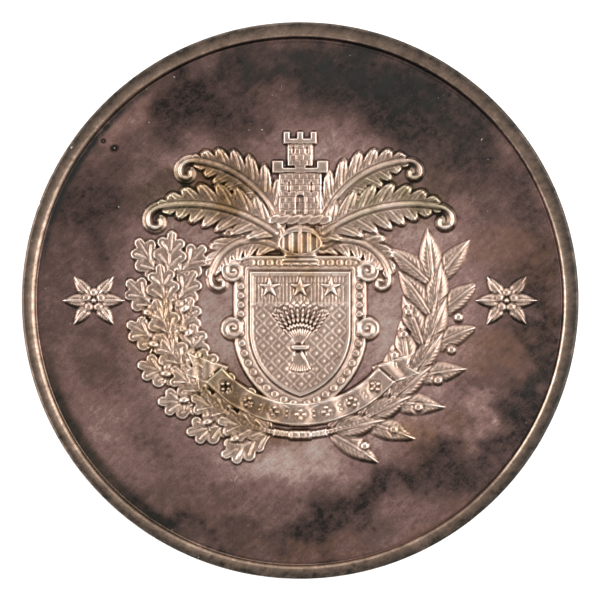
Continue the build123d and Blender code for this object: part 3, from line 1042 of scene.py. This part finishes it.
def castWreath():
    margin = wreath["radius"] + wreath["margin"]
    step = (wreath["end"] - wreath["start"]) / wreath["groups"]
    between = [wreath["start"] + step * i for i in range(1, wreath["groups"])]
    splays = (wreath["splay"], -wreath["splay"])
    laurel = newSheet(-wreath["pastMiddle"], margin, -margin, wreath["top"])
    size = laurelLeaf["length"], laurelLeaf["width"]
    for place, heading in wreathSpots(1):
        for turn in splays:
            bend = laurelLeaf["bend"] * np.sign(turn)
            layPointedLeaf(laurel, place, heading + turn, *size, laurelLeaf["levels"], bend)
        layPointedLeaf(laurel, place, heading, *size, laurelLeaf["middleLevels"])
    layStem(laurel, 1)
    for angle in between:
        for side in (-1, 1):
            place = onCircle(wreath["radius"] + side * laurelLeaf["berryAside"] * laurelLeaf["length"], angle)
            layDome(laurel, place, laurelLeaf["berry"], laurelLeaf["berryLevel"], laurelLeaf["berryGroove"],
                    laurelLeaf["berryDimple"])
    cast("laurelBranch", laurel, medalSilver)
    oak = newSheet(-margin, wreath["pastMiddle"], -margin, wreath["top"])
    for place, heading in wreathSpots(-1):
        for turn in splays:
            layOakLeaf(oak, place, heading + turn, oakLeaf["levels"])
        layOakLeaf(oak, place, heading, oakLeaf["middleLevels"])
    layStem(oak, -1)
    for angle in between:
        for side in (-1, 1):
            x, y = onCircle(wreath["radius"] + side * acorn["aside"] * oakLeaf["length"], angle)
            layAcorn(oak, (-x, y), 180 - angle - acorn["turn"] * side)
    cast("oakBranch", oak, medalSilver)


castWreath()


# The mantling: three long leaves on each side, with round lobes that lean towards a curled tip. Each leaf's
# arc and half width are shares of the reach.
mantling = {
    "leaves": named(
        ("root", "middle", "tip", "lobes", "half", "level"),
        ((0.12, 0.29), (0.35, 0.30), (0.48, 0.12), 5, 0.108, 0.26),
        ((0.12, 0.42), (0.30, 0.65), (0.58, 0.75), 7, 0.140, 0.28),
        ((0.13, 0.36), (0.44, 0.50), (0.76, 0.50), 7, 0.140, 0.34),
    ),
    "sheet": ((1.5, 19.0), (-1.5, 17.8)),  # across, on the leaves' own side, and up
    "bodySteps": 35,
    "curlTurn": 19.0,  # degrees for each step of a tip's curl
    "curlTightens": (0.55, 0.06),  # the first step's share of that turn, and how much each more step adds
    "curlShrinks": 0.965,
    "curlSteps": 15,
    "curlHalf": (0.46, 0.20),  # half width where the curl starts, and at its end
    "lobeLean": 0.85,
    "lobeOffset": 0.25,
    "lobe": (0.8, 0.6),  # lean and fullness, as for the outline
    "outline": (0.85, 0.62),
    "outlineEnds": (0.06, 0.90),
    "betweenLobes": 0.60,  # the half width there, as a share of that at a lobe
    "lobeStarts": (0.35, 0.75),
    "flute": 0.12,
    "notch": (-0.11, 0.13),  # height and width, as for the vein, the rib and the furrow beside it
    "vein": (0.055, 0.10),
    "fineVein": 0.018,
    "rib": (0.10, 0.16),
    "furrow": (-0.07, 0.13),
    "furrowAway": 0.36,
    "sharpness": 0.8,
    "rise": 0.05,
    "run": 0.50,
}


def layMantlingLeaf(sheet, side, leaf):
    corners = [(side * u * reach, v * reach) for u, v in (leaf["root"], leaf["middle"], leaf["tip"])]
    path = arcThrough(*corners, mantling["bodySteps"] + 1)
    bodyLength, step = lengthOf(path), dist(*path[:2])
    near, x, y = nearTo(sheet, path[len(path) // 2], 0.55 * bodyLength + 2.6)
    way = atan2(path[-1][1] - path[-2][1], path[-1][0] - path[-2][0])
    first, more = mantling["curlTightens"]
    for k in range(mantling["curlSteps"]):
        way -= radians(side * mantling["curlTurn"] * (first + more * k))
        step *= mantling["curlShrinks"]
        path.append((path[-1][0] + step * cos(way), path[-1][1] + step * sin(way)))
    away, along, left = alongPath(x, y, path)
    body = np.clip(along / bodyLength, 0, 1)
    pitch = bodyLength / leaf["lobes"]
    turns = body * leaf["lobes"] - mantling["lobeLean"] * away / pitch + mantling["lobeOffset"] * left
    part = turns - np.floor(turns)
    start, run = mantling["outlineEnds"]
    outline = swelling(np.clip(start + run * body, 0, 1), *mantling["outline"])
    lobed = mixed(mantling["betweenLobes"], 1.0, swelling(part, *mantling["lobe"]))
    half = leaf["half"] * reach * outline * lobed
    half = np.maximum(half, mixed(*mantling["curlHalf"], eased(along, bodyLength, lengthOf(path))))
    onBody = (along < bodyLength) * 1.0
    onLobe = eased(np.clip(away / half, 0, 1), *mantling["lobeStarts"]) * onBody
    notch = np.minimum(part, 1 - part) * pitch
    flutes = onLobe * (mantling["flute"] * np.sin(pi * part) + ridge(notch, mantling["notch"]))
    veins = ridge((part - 0.5) * pitch, mantling["vein"]) + mantling["fineVein"] * np.cos(4 * tau * part)
    rib = ridge(away, mantling["rib"]) + ridge(away - mantling["furrowAway"], mantling["furrow"])
    detail = flutes + rib + veins * eased(away, *mantling["lobeStarts"]) * onBody
    level = leaf["level"] + mantling["rise"] * body
    lay(sheet, near, mantling["sharpness"] * (half - away), level, mantling["run"], detail)


for side, name in ((1, "mantlingRight"), (-1, "mantlingLeft")):
    across, up = mantling["sheet"]
    sheet = newSheet(*sorted(side * end for end in across), *up)
    for leaf in mantling["leaves"]:
        layMantlingLeaf(sheet, side, leaf)
    cast(name, sheet, medalSilver)


# The shield in its strapwork frame
shield = {
    "halfWidth": 0.275 * reach,
    "top": 0.160 * reach,
    "shoulder": -0.150 * reach,
    "point": -0.520 * reach,
    "flank": (0.74, 0.62),  # shares of the half width, and of the way from shoulder to point
    "level": 0.38,
    "run": 0.20,
    "rim": 0.026 * reach,
    "rimRidge": (0.10, 0.24),  # height and width, as for the other ridges
    "chiefLine": -0.020 * reach,
    "chiefRidge": (0.09, 0.22),
    "hatch": 0.022,
    "hatchGap": 0.36,
    "diaperGap": 1.55,
    "lozenge": (0.060, 0.15),
    "pellet": (0.080, 0.28),
    "groundStarts": (0.5, 0.7),
    "starRadius": 0.066 * reach,
    "starStep": 0.6,  # as a share of the half width
    "starNotch": 0.42,
    "starRun": 0.12,
    "starSlope": 0.40,
    "chargeLevel": 0.43,
    "margins": (1.8, 2.6, 3.2),  # how far its sheet goes past the frame: aside, below and above
}
strapwork = {
    "width": 0.085 * reach,
    "level": 0.32,
    "run": 0.26,
    "beadGap": 0.95,
    "bead": 0.36,
    "beadHeight": 0.16,
    "beadGroove": (-0.07, 0.34),
    "rollAway": 0.26,
    "outerRoll": (0.09, 0.15),
    "innerRoll": (0.07, 0.13),
    "scroll": 0.8,  # as a share of the width
    "scrollLevel": 0.34,
    "scrollRun": 0.40,
    "coil": 0.13,
    "coilTurns": 2.1,
    "eye": (0.28, 0.50),  # radius and level
}
sheaf = {
    "height": 0.350 * reach,
    "up": 0.06 * reach,
    "waist": 0.38,  # as a share of the height
    "ears": 9,
    "stalks": named(("turn", "lean", "long", "half"), (90, -64, 0.40, 0.13), (-90, 48, 0.36, 0.17)),
    "earLean": -70,
    "grains": 5,
    "grainStart": 0.30,
    "grainStep": 0.075,
    "grainAside": 0.17,
    "grainTurn": 18,
    "grain": (0.66, 0.36),  # length and width
    "veinGap": 9.0,
    "bandHalf": 0.09,
    "bandWidth": 0.055,
    "bandRun": 0.26,
    "cord": 0.03,
    "cordGap": 0.3,
    "rises": {"stalk": 0.03, "grain": (0.05, 0.10), "band": 0.12},
}


def shieldOutline():
    half, top, shoulder, point = (shield[key] for key in ("halfWidth", "top", "shoulder", "point"))
    out, down = shield["flank"]
    right = arcThrough((0, point), (out * half, mixed(shoulder, point, down)), (half, shoulder), 22)
    left = [(-x, y) for x, y in reversed(right)]
    return right + [(half, top), (-half, top)] + left[:-1]


def layStar(sheet, place, radius):
    near, along, across = around(sheet, place, radius + 0.4, 90)
    away = np.hypot(along, across)
    fold = np.abs((np.arctan2(across, along) + pi / 5) % (tau / 5) - pi / 5)
    u, v = away * np.cos(fold), away * np.sin(fold)
    notch = rect(shield["starNotch"] * radius, pi / 5)
    dx, dy = notch.real - radius, notch.imag
    inward = ((radius - u) * dy + v * dx) / hypot(dx, dy)
    slope = shield["starSlope"] * np.clip(inward, 0, 0.5)
    lay(sheet, near, inward, shield["chargeLevel"], shield["starRun"], slope)


def laySheaf(sheet, level):
    height, rises = sheaf["height"], sheaf["rises"]
    foot = 0.5 * (shield["chiefLine"] + shield["point"]) - 0.5 * height + sheaf["up"]
    waist = (0.0, foot + sheaf["waist"] * height)
    leans = [i / (sheaf["ears"] - 1) - 0.5 for i in range(sheaf["ears"])]
    for lean in leans:
        for row in sheaf["stalks"]:
            near, along, across = around(sheet, waist, height, row["turn"] + row["lean"] * lean)
            stalk = toBar(along, across, 0, row["long"] * height)
            lay(sheet, near, row["half"] - stalk, level + rises["stalk"], row["half"])
    grainLevels = [level + rise for rise in rises["grain"]]
    for lean in sorted(leans, key=abs, reverse=True):
        heading = 90 + sheaf["earLean"] * lean
        way, aside = rect(1, radians(heading)), rect(sheaf["grainAside"], radians(heading + 90))
        for k in range(sheaf["grains"]):
            for turn in (1, -1):
                grain = (sheaf["grainStart"] + sheaf["grainStep"] * k) * height * way + turn * aside
                place, turned = (grain.real, waist[1] + grain.imag), heading + sheaf["grainTurn"] * turn
                layPointedLeaf(sheet, place, turned, *sheaf["grain"], grainLevels, veinGap=sheaf["veinGap"])
    near, along, across = around(sheet, waist, height)
    bandEnd = sheaf["bandHalf"] * height
    band = sheaf["bandWidth"] * height - toBar(along, across, -bandEnd, bandEnd)
    cords = sheaf["cord"] * np.sin(tau * (along + across) / sheaf["cordGap"])
    lay(sheet, near, band, level + rises["band"], sheaf["bandRun"], cords)


def layStrapwork(sheet, inward, outline):
    # A beaded band between two rolls, with a scroll at each of its corners
    closed, gap, width = outline + outline[:1], strapwork["beadGap"], strapwork["width"]
    along = alongPath(sheet["x"], sheet["y"], closed)[1]
    along = np.minimum(along, lengthOf(closed) - along)
    framed = inward + width
    off = framed - 0.50 * width
    offBead = np.hypot(along % gap - 0.5 * gap, off)
    beads = strapwork["beadHeight"] * np.sqrt(np.clip(1 - (offBead / strapwork["bead"]) ** 2, 0, 1))
    beads += ridge(off, strapwork["beadGroove"])
    rolls = ridge(framed - strapwork["rollAway"], strapwork["outerRoll"])
    rolls += ridge(inward + strapwork["rollAway"], strapwork["innerRoll"])
    lay(sheet, whole, framed, strapwork["level"], strapwork["run"], beads + rolls)
    curlSize = strapwork["scroll"] * width
    for side in (1, -1):
        for level in (shield["top"], shield["shoulder"]):
            place = (side * (shield["halfWidth"] + width), level)
            near, along, across = around(sheet, place, curlSize + 0.5)
            away = np.hypot(along, across)
            turn = np.arctan2(across, side * along) / tau * (1 if level > 0 else -1)
            coil = 0.5 + 0.5 * np.cos(tau * (strapwork["coilTurns"] * (away / curlSize) ** 0.8 - turn))
            lay(sheet, near, curlSize - away, strapwork["scrollLevel"], strapwork["scrollRun"],
                strapwork["coil"] * coil ** 1.5)
            layDome(sheet, place, *strapwork["eye"])


def castShield():
    half, top = shield["halfWidth"] + strapwork["width"], shield["top"]
    aside, below, above = shield["margins"]
    sheet = newSheet(-half - aside, half + aside, shield["point"] - below, top + above)
    x, y = sheet["x"], sheet["y"]
    outline = shieldOutline()
    inward = insideOf(x, y, outline)
    layStrapwork(sheet, inward, outline)
    # The chief is hatched, and below it lies a diaper of lozenges with a pellet in each
    hatch = shield["hatch"] * np.cos(tau * x / shield["hatchGap"])
    gap = shield["diaperGap"]
    up, down = np.abs((x + y) % gap - gap / 2), np.abs((x - y) % gap - gap / 2)
    lozenges = np.maximum(ridge(gap / 2 - up, shield["lozenge"]), ridge(gap / 2 - down, shield["lozenge"]))
    pellets = ridge(np.hypot(up, down), shield["pellet"])
    ground = np.where(y > shield["chiefLine"], hatch, lozenges + pellets)
    ground = ground * eased(inward, *shield["groundStarts"])
    rim = ridge(inward - 0.5 * shield["rim"], shield["rimRidge"])
    rim += ridge(y - shield["chiefLine"], shield["chiefRidge"]) * (inward > 0)
    lay(sheet, whole, inward, shield["level"], shield["run"], ground + rim)
    for step in (-1, 0, 1):
        place = (shield["starStep"] * step * shield["halfWidth"], 0.5 * (shield["top"] + shield["chiefLine"]))
        layStar(sheet, place, shield["starRadius"])
    laySheaf(sheet, shield["chargeLevel"])
    cast("shield", sheet, medalSilver)


castShield()


# The helm, the twisted roll on it and the tower above
helm = {
    "halfWidth": 0.135 * reach,
    "foot": 0.170 * reach,
    "height": 0.250 * reach,
    "neck": (0.72, 0.3),  # shares of the half width and of the height
    "level": 0.38,
    "run": 0.6,
    "bulge": 0.12,
    "collar": 0.07,
    "collarGap": 0.46,
    "crest": (0.05, 0.11),  # height and width, as for the opening's lip
    "face": (0.56, 0.24, 0.80),  # the opening: middle and half height by the height, half width by the half
    "opening": -0.13,
    "openingRun": 0.16,
    "lip": (0.05, 0.12),
    "bar": 0.15,
    "barGap": 0.36,
    "rivet": (0.15, 0.56),  # radius and level
    "rivetUp": 0.36,
    "sheet": (4.0, 0.4, 18.2),  # half its width, how far below the foot it starts, and its top
}
roll = {
    "halfWidth": 0.175 * reach,
    "height": 0.066 * reach,
    "half": 0.62 * 0.066 * reach,  # half the height over a strand, and a share of that between two
    "betweenStrands": 0.86,
    "endInset": 0.6,
    "overlap": 0.02 * reach,  # how far it lies over the helm
    "turns": 6,
    "lean": 0.8,
    "level": 0.46,
    "run": 0.55,
    "twist": 0.07,
    "strand": 0.015,
    "strandGap": 0.24,
}
tower = {
    "stages": ((0.120 * reach, 0.260 * reach), (0.072 * reach, 0.156 * reach)),  # half width and height
    "level": 0.34,
    "run": 0.20,
    "swell": 0.13,
    "overlap": 0.01 * reach,  # how far the roll lies over it
    "course": 0.62,  # height of a course of masonry
    "brick": (0.6, 1.2),  # how far every other course is shifted, and a brick's length, as shares of that
    "joint": (-0.08, 0.08),
    "merlonHeight": 0.036 * reach,
    "merlonShare": 0.55,
    "parapetHeight": 0.034 * reach,
    "parapetLevel": 0.50,
    "parapetRun": 0.16,
    "merlonRun": 0.14,
    "slot": (-0.16, 0.13),
    "slotEnds": (0.50, 0.66),
    "door": -0.16,
    "doorHalf": (0.46, 0.34),
    "doorLip": (0.04, 0.1),
    "doorLipAway": 0.56,
    "doorTop": 0.34,
}


def layHelm(sheet):
    half, foot, height = helm["halfWidth"], helm["foot"], helm["height"]
    top = foot + height
    dome = arcThrough((half, top - half), (0, top), (-half, top - half), 17)
    neckHalf, neck = helm["neck"][0] * half, foot + helm["neck"][1] * height
    outline = dome + [(-neckHalf, neck), (-half, foot), (half, foot), (neckHalf, neck)]
    near, x, y = nearTo(sheet, (0, foot + height / 2), 0.8 * height)
    inward = insideOf(x, y, outline)
    bulge = helm["bulge"] * np.clip(1 - (x / half) ** 2, 0, 1)
    collar = helm["collar"] * np.cos(tau * (y - foot) / helm["collarGap"])
    collar = collar * (1 - eased(y, neck - 0.12, neck + 0.12))
    crest = ridge(x, helm["crest"]) * (y > foot + 0.75 * height)
    middle, faceHeight, faceHalf = helm["face"]
    face = inOval(y - foot, x, middle * height, faceHeight * height, faceHalf * half) * faceHalf * half
    opened = eased(face, 0.0, helm["openingRun"])
    opening = helm["opening"] * opened + ridge(face + 0.08, helm["lip"])
    bars = helm["bar"] * np.clip(np.cos(tau * x / (helm["barGap"] * half)), 0, 1) ** 0.6 * opened
    lay(sheet, near, inward, helm["level"], helm["run"], bulge + collar + crest + opening + bars)
    for k in range(-2, 3):
        layDome(sheet, (helm["barGap"] * half * k, foot + helm["rivetUp"]), *helm["rivet"])


def layTower(sheet, base):
    foot, course = base, tower["course"]
    shift, long = tower["brick"]
    for wide, height in tower["stages"]:
        near, x, y = nearTo(sheet, (0, foot + height / 2), height)
        top = foot + height
        wall = np.minimum(wide - np.abs(x), np.minimum(y - foot, top - y))
        row = np.floor((y - foot) / course)
        shifted = (x + shift * course * (row % 2)) % (long * course)
        depth, joint = tower["joint"]
        joints = np.minimum(bump((y - foot) % course, joint) + bump(shifted, joint), 1)
        swell = tower["swell"] * np.sqrt(np.clip(1 - (x / wide) ** 2, 0, 1))
        lay(sheet, near, wall, tower["level"], tower["run"], swell + depth * joints)
        jut, deep = 0.5 * tower["merlonShare"] * wide, tower["parapetHeight"]
        parapet = np.minimum(wide + jut - np.abs(x), 0.5 * deep - np.abs(y - top + 0.5 * deep))
        lay(sheet, near, parapet, tower["parapetLevel"], tower["parapetRun"])
        for k in (-1, 0, 1):
            merlon = np.minimum(jut - np.abs(x - k * wide), tower["merlonHeight"] - np.abs(y - top))
            lay(sheet, near, merlon, tower["parapetLevel"], tower["merlonRun"], groove=0.0)
        for k in (-1, 1):
            ends = [(0.5 * k * wide, foot + share * height) for share in tower["slotEnds"]]
            sheet["h"][near] += ridge(toLine(x, y, *ends)[0], tower["slot"])
        foot = top
    near, x, y = nearTo(sheet, (0, base), 3.0)
    door = toLine(x, y, (0, base), (0, base + tower["doorTop"] * tower["stages"][0][1]))[0]
    lip = ridge(door - tower["doorLipAway"], tower["doorLip"])
    sheet["h"][near] += tower["door"] * eased(door, *tower["doorHalf"]) + lip


def layRoll(sheet, middle):
    near, x, y = nearTo(sheet, (0, middle), 4.0)
    end = roll["halfWidth"] - roll["endInset"]
    away = toLine(x, y, (-end, middle), (end, middle))[0]
    wound = x - roll["lean"] * (y - middle)
    twist = np.abs(np.sin(pi * wound * roll["turns"] / (2 * roll["halfWidth"])))
    swell = roll["half"] * mixed(roll["betweenStrands"], 1.0, twist)
    strands = roll["strand"] * np.sin(tau * wound / roll["strandGap"])
    lay(sheet, near, swell - away, roll["level"], roll["run"], roll["twist"] * twist ** 0.7 + strands)


def castHelm():
    middle = helm["foot"] + helm["height"] + 0.5 * roll["height"] - roll["overlap"]
    wide, below, top = helm["sheet"]
    sheet = newSheet(-wide, wide, helm["foot"] - below, top)
    layTower(sheet, middle + 0.5 * roll["height"] - tower["overlap"])
    layHelm(sheet)
    layRoll(sheet, middle)
    cast("helm", sheet, medalSilver)


castHelm()


# The ribbon under the shield, with small quatrefoils along it, and the tie of the wreath
ribbon = {
    "radius": 0.610 * reach,
    "width": 0.135 * reach,
    "halfAngle": 50.0,
    "level": 0.48,
    "run": 0.26,
    "hem": (0.05, 0.11),  # height and width
    "hemAway": 0.32,
    "sway": 0.11,
    "swayAngle": 16,
    "hollow": 0.09,
    "tail": 0.190 * reach,
    "tailTurn": 70,
    "tailLevel": 0.34,
    "tailRun": 0.3,
    "tailHem": (0.04, 0.1),
    "tailHemAway": 0.3,
    "fork": 0.7,
    "fold": 0.09,
    "foldGap": 1.9,
    "foldLean": 0.4,
    "quatrefoils": 7,
    "quatrefoilEnds": 0.82,  # as a share of the half angle
    "lobe": (0.34, 0.60, 0.05),  # radius, level and groove, as for the pellets
    "lobeAway": 0.37,
    "pellet": (0.19, 0.58, 0.03),
    "pelletAway": 0.242,
    "sheet": (-16.0, 16.0, -15.0, -4.0),  # left, right, bottom and top
}
tie = {
    "length": 0.150 * reach,
    "width": 0.062 * reach,
    "level": 0.44,
    "run": 0.5,
    "wrap": 0.08,
    "wrapGap": 0.7,
    "wrapLean": 0.15,
    "strand": 0.015,
    "strandGap": 0.18,
    "sheet": (2.4, 1.6),  # half its width and half its height
}


def layTail(sheet, side):
    half = 0.5 * ribbon["width"]
    place = onCircle(ribbon["radius"], side * ribbon["halfAngle"])
    near, along, across = around(sheet, place, ribbon["tail"] + 1.5, 90 - side * ribbon["tailTurn"])
    fork = ribbon["tail"] - np.maximum(0, half - np.abs(across)) - along
    inward = np.minimum(np.minimum(half - np.abs(across), along + half), ribbon["fork"] * fork)
    folds = ribbon["fold"] * np.sin(tau * (along + ribbon["foldLean"] * across) / ribbon["foldGap"])
    hem = ridge(half - np.abs(across) - ribbon["tailHemAway"], ribbon["tailHem"])
    lay(sheet, near, inward, ribbon["tailLevel"], ribbon["tailRun"], folds + hem)


def castRibbon():
    sheet = newSheet(*ribbon["sheet"])
    for side in (1, -1):
        layTail(sheet, side)
    half, x, y = 0.5 * ribbon["width"], sheet["x"], sheet["y"]
    angle = np.degrees(np.arctan2(x, -y))
    off = np.hypot(x, y) - ribbon["radius"]
    ends = np.radians(ribbon["halfAngle"] - np.abs(angle)) * ribbon["radius"]
    near = (np.abs(off) < half + 0.6) & (ends > -0.8)
    hem = ridge(half - np.abs(off) - ribbon["hemAway"], ribbon["hem"])
    sway = ribbon["sway"] * np.cos(tau * angle / ribbon["swayAngle"]) - ribbon["hollow"] * (off / half) ** 2
    inward = np.minimum(half - np.abs(off), ends)
    lay(sheet, near, inward[near], ribbon["level"], ribbon["run"], (hem + sway)[near])
    count, most = ribbon["quatrefoils"], ribbon["quatrefoilEnds"]
    for i in range(count):
        turn = mixed(-most, most, i / (count - 1)) * ribbon["halfAngle"]
        middle = onCircle(ribbon["radius"], turn)
        for k in range(4):
            way = radians(turn + 90 * k)
            place = (middle[0] + ribbon["lobeAway"] * cos(way), middle[1] + ribbon["lobeAway"] * sin(way))
            layDome(sheet, place, *ribbon["lobe"])
        if i < count - 1:
            between = turn + most * ribbon["halfAngle"] / (count - 1)
            for away in (-ribbon["pelletAway"], ribbon["pelletAway"]):
                layDome(sheet, onCircle(ribbon["radius"] + away, between), *ribbon["pellet"])
    cast("ribbon", sheet, medalSilver)


def castTie():
    middle = onCircle(wreath["radius"], 0)
    wide, high = tie["sheet"]
    sheet = newSheet(-wide, wide, middle[1] - high, middle[1] + high)
    near, along, across = around(sheet, middle, 3.0)
    long = 0.5 * (tie["length"] - tie["width"])
    away = toBar(along, across, -long, long)
    wound = along + tie["wrapLean"] * across
    wraps = tie["wrap"] * np.abs(np.sin(pi * wound / tie["wrapGap"])) ** 0.6
    wraps += tie["strand"] * np.sin(tau * along / tie["strandGap"])
    lay(sheet, near, 0.5 * tie["width"] - away, tie["level"], tie["run"], wraps)
    cast("tie", sheet, medalSilver)


castRibbon()
castTie()


# A sprig on each side: a five-petalled flower between two sprays of three leaves
sprig = {
    "centre": mixed(wreath["radius"] + 0.5 * laurelLeaf["length"], fieldRadius, 0.43),
    "leafLength": 0.170 * reach,
    "leafWidth": 0.078 * reach,
    "leafLevels": (0.24, 0.32),
    "bend": 0.08,
    "veinGap": 0.3,
    "splay": 46.0,
    "petal": 0.030 * reach,
    "petals": 5,
    "petalAway": 1.35,  # as a share of the petal's radius
    "petalForm": (0.32, 0.05, 0.05),  # level, groove and dimple
    "eye": 0.6,
    "eyeLevel": 0.40,
    "sheet": (4.0, 3.4),  # half its width and half its height
}


def castSprigs():
    petal, (wide, high) = sprig["petal"], sprig["sheet"]
    for side, name in ((1, "sprigRight"), (-1, "sprigLeft")):
        centre = (side * sprig["centre"], 0.0)
        sheet = newSheet(centre[0] - wide, centre[0] + wide, -high, high)
        for heading in (0, 180):
            for turn in (-sprig["splay"], sprig["splay"], 0):
                layPointedLeaf(sheet, centre, heading + turn, sprig["leafLength"], sprig["leafWidth"],
                               sprig["leafLevels"], sprig["bend"] * np.sign(turn), sprig["veinGap"])
        for k in range(sprig["petals"]):
            x, y = onCircle(sprig["petalAway"] * petal, 180 + 360 * k / sprig["petals"])
            layDome(sheet, (centre[0] + x, y), petal, *sprig["petalForm"])
        layDome(sheet, centre, sprig["eye"] * petal, sprig["eyeLevel"])
        cast(name, sheet, medalSilver)


castSprigs()


# The table
table = {
    "size": 4.0,  # in metres
    "colour": (0.93, 0.93, 0.925, 1),
    "roughness": 0.8,
    "glow": 0.45,
}


def layTable():
    material = bpy.data.materials.new("paleTable")
    material.use_nodes = True
    shader = material.node_tree.nodes["Principled BSDF"]
    shader.inputs["Base Color"].default_value = table["colour"]
    shader.inputs["Roughness"].default_value = table["roughness"]
    shader.inputs["Emission Color"].default_value = (1, 1, 1, 1)
    shader.inputs["Emission Strength"].default_value = table["glow"]
    bpy.ops.mesh.primitive_plane_add(size=table["size"])
    top = bpy.context.object
    top.name = "table"
    top.data.materials.append(material)


# The studio, in metres and degrees: large soft lights low on the right and on the left, a weaker one beyond
# the top of the face, and the weakest high on the right and beyond the bottom
studio = {
    "lights": named(
        ("name", "way", "up", "far", "size", "bright"),
        ("rightPanel", 5, 34, 0.50, (0.52, 0.46), 2.8),
        ("highPanel", 0, 64, 0.60, (0.50, 0.30), 0.9),
        ("leftPanel", 178, 30, 0.50, (0.64, 0.34), 3.0),
        ("topPanel", 90, 32, 0.55, (0.60, 0.44), 1.6),
        ("nearPanel", 270, 50, 0.55, (0.50, 0.26), 0.9),
    ),
    "white": (1.0, 0.99, 0.98),
    "overhead": 0.40,  # the room's light from straight above, and from low down
    "low": 0.10,
    "lowEnds": 0.3,  # how far up the low light reaches before the room grows brighter
    "lens": 180.0,
    "sensor": 36.0,
    "frameWidth": 0.06135,  # what the picture spans at the medal
    "aside": (-0.00002, 0.00005),  # where the camera stands, from the medal's middle
}


def lightStudio():
    for light in studio["lights"]:
        data = bpy.data.lights.new(light["name"], "AREA")
        data.shape = "RECTANGLE"
        data.size, data.size_y = light["size"]
        data.energy = light["bright"] * pi * data.size * data.size_y
        data.color = studio["white"]
        lamp = bpy.data.objects.new(light["name"], data)
        way, up = radians(light["way"]), radians(light["up"])
        lamp.location = Vector((cos(up) * cos(way), cos(up) * sin(way), sin(up))) * light["far"]
        lamp.rotation_euler = (-lamp.location).to_track_quat("-Z", "Y").to_euler()
        bpy.context.scene.collection.objects.link(lamp)
    world = bpy.data.worlds.new("studioAir")
    world.use_nodes = True
    tree = world.node_tree
    background = tree.nodes["Background"]
    background.inputs["Color"].default_value = (*studio["white"], 1)
    ways = tree.nodes.new("ShaderNodeSeparateXYZ")
    tree.links.new(tree.nodes.new("ShaderNodeTexCoord").outputs["Generated"], ways.inputs["Vector"])
    fall = tree.nodes.new("ShaderNodeMapRange")
    for key, kind in (("From Min", "lowEnds"), ("To Min", "low"), ("To Max", "overhead")):
        fall.inputs[key].default_value = studio[kind]
    tree.links.new(ways.outputs["Z"], fall.inputs["Value"])
    tree.links.new(fall.outputs["Result"], background.inputs["Strength"])
    bpy.context.scene.world = world
    bpy.context.scene.view_settings.view_transform = "Standard"


def placeCamera():
    data = bpy.data.cameras.new("overhead")
    data.lens = studio["lens"]
    data.sensor_width = studio["sensor"]
    camera = bpy.data.objects.new("overhead", data)
    height = studio["frameWidth"] * data.lens / data.sensor_width
    camera.location = (*studio["aside"], disc["thickness"] / 1000 + height)
    bpy.context.scene.collection.objects.link(camera)
    bpy.context.scene.camera = camera


layTable()
lightStudio()
placeCamera()
print("studio ready")
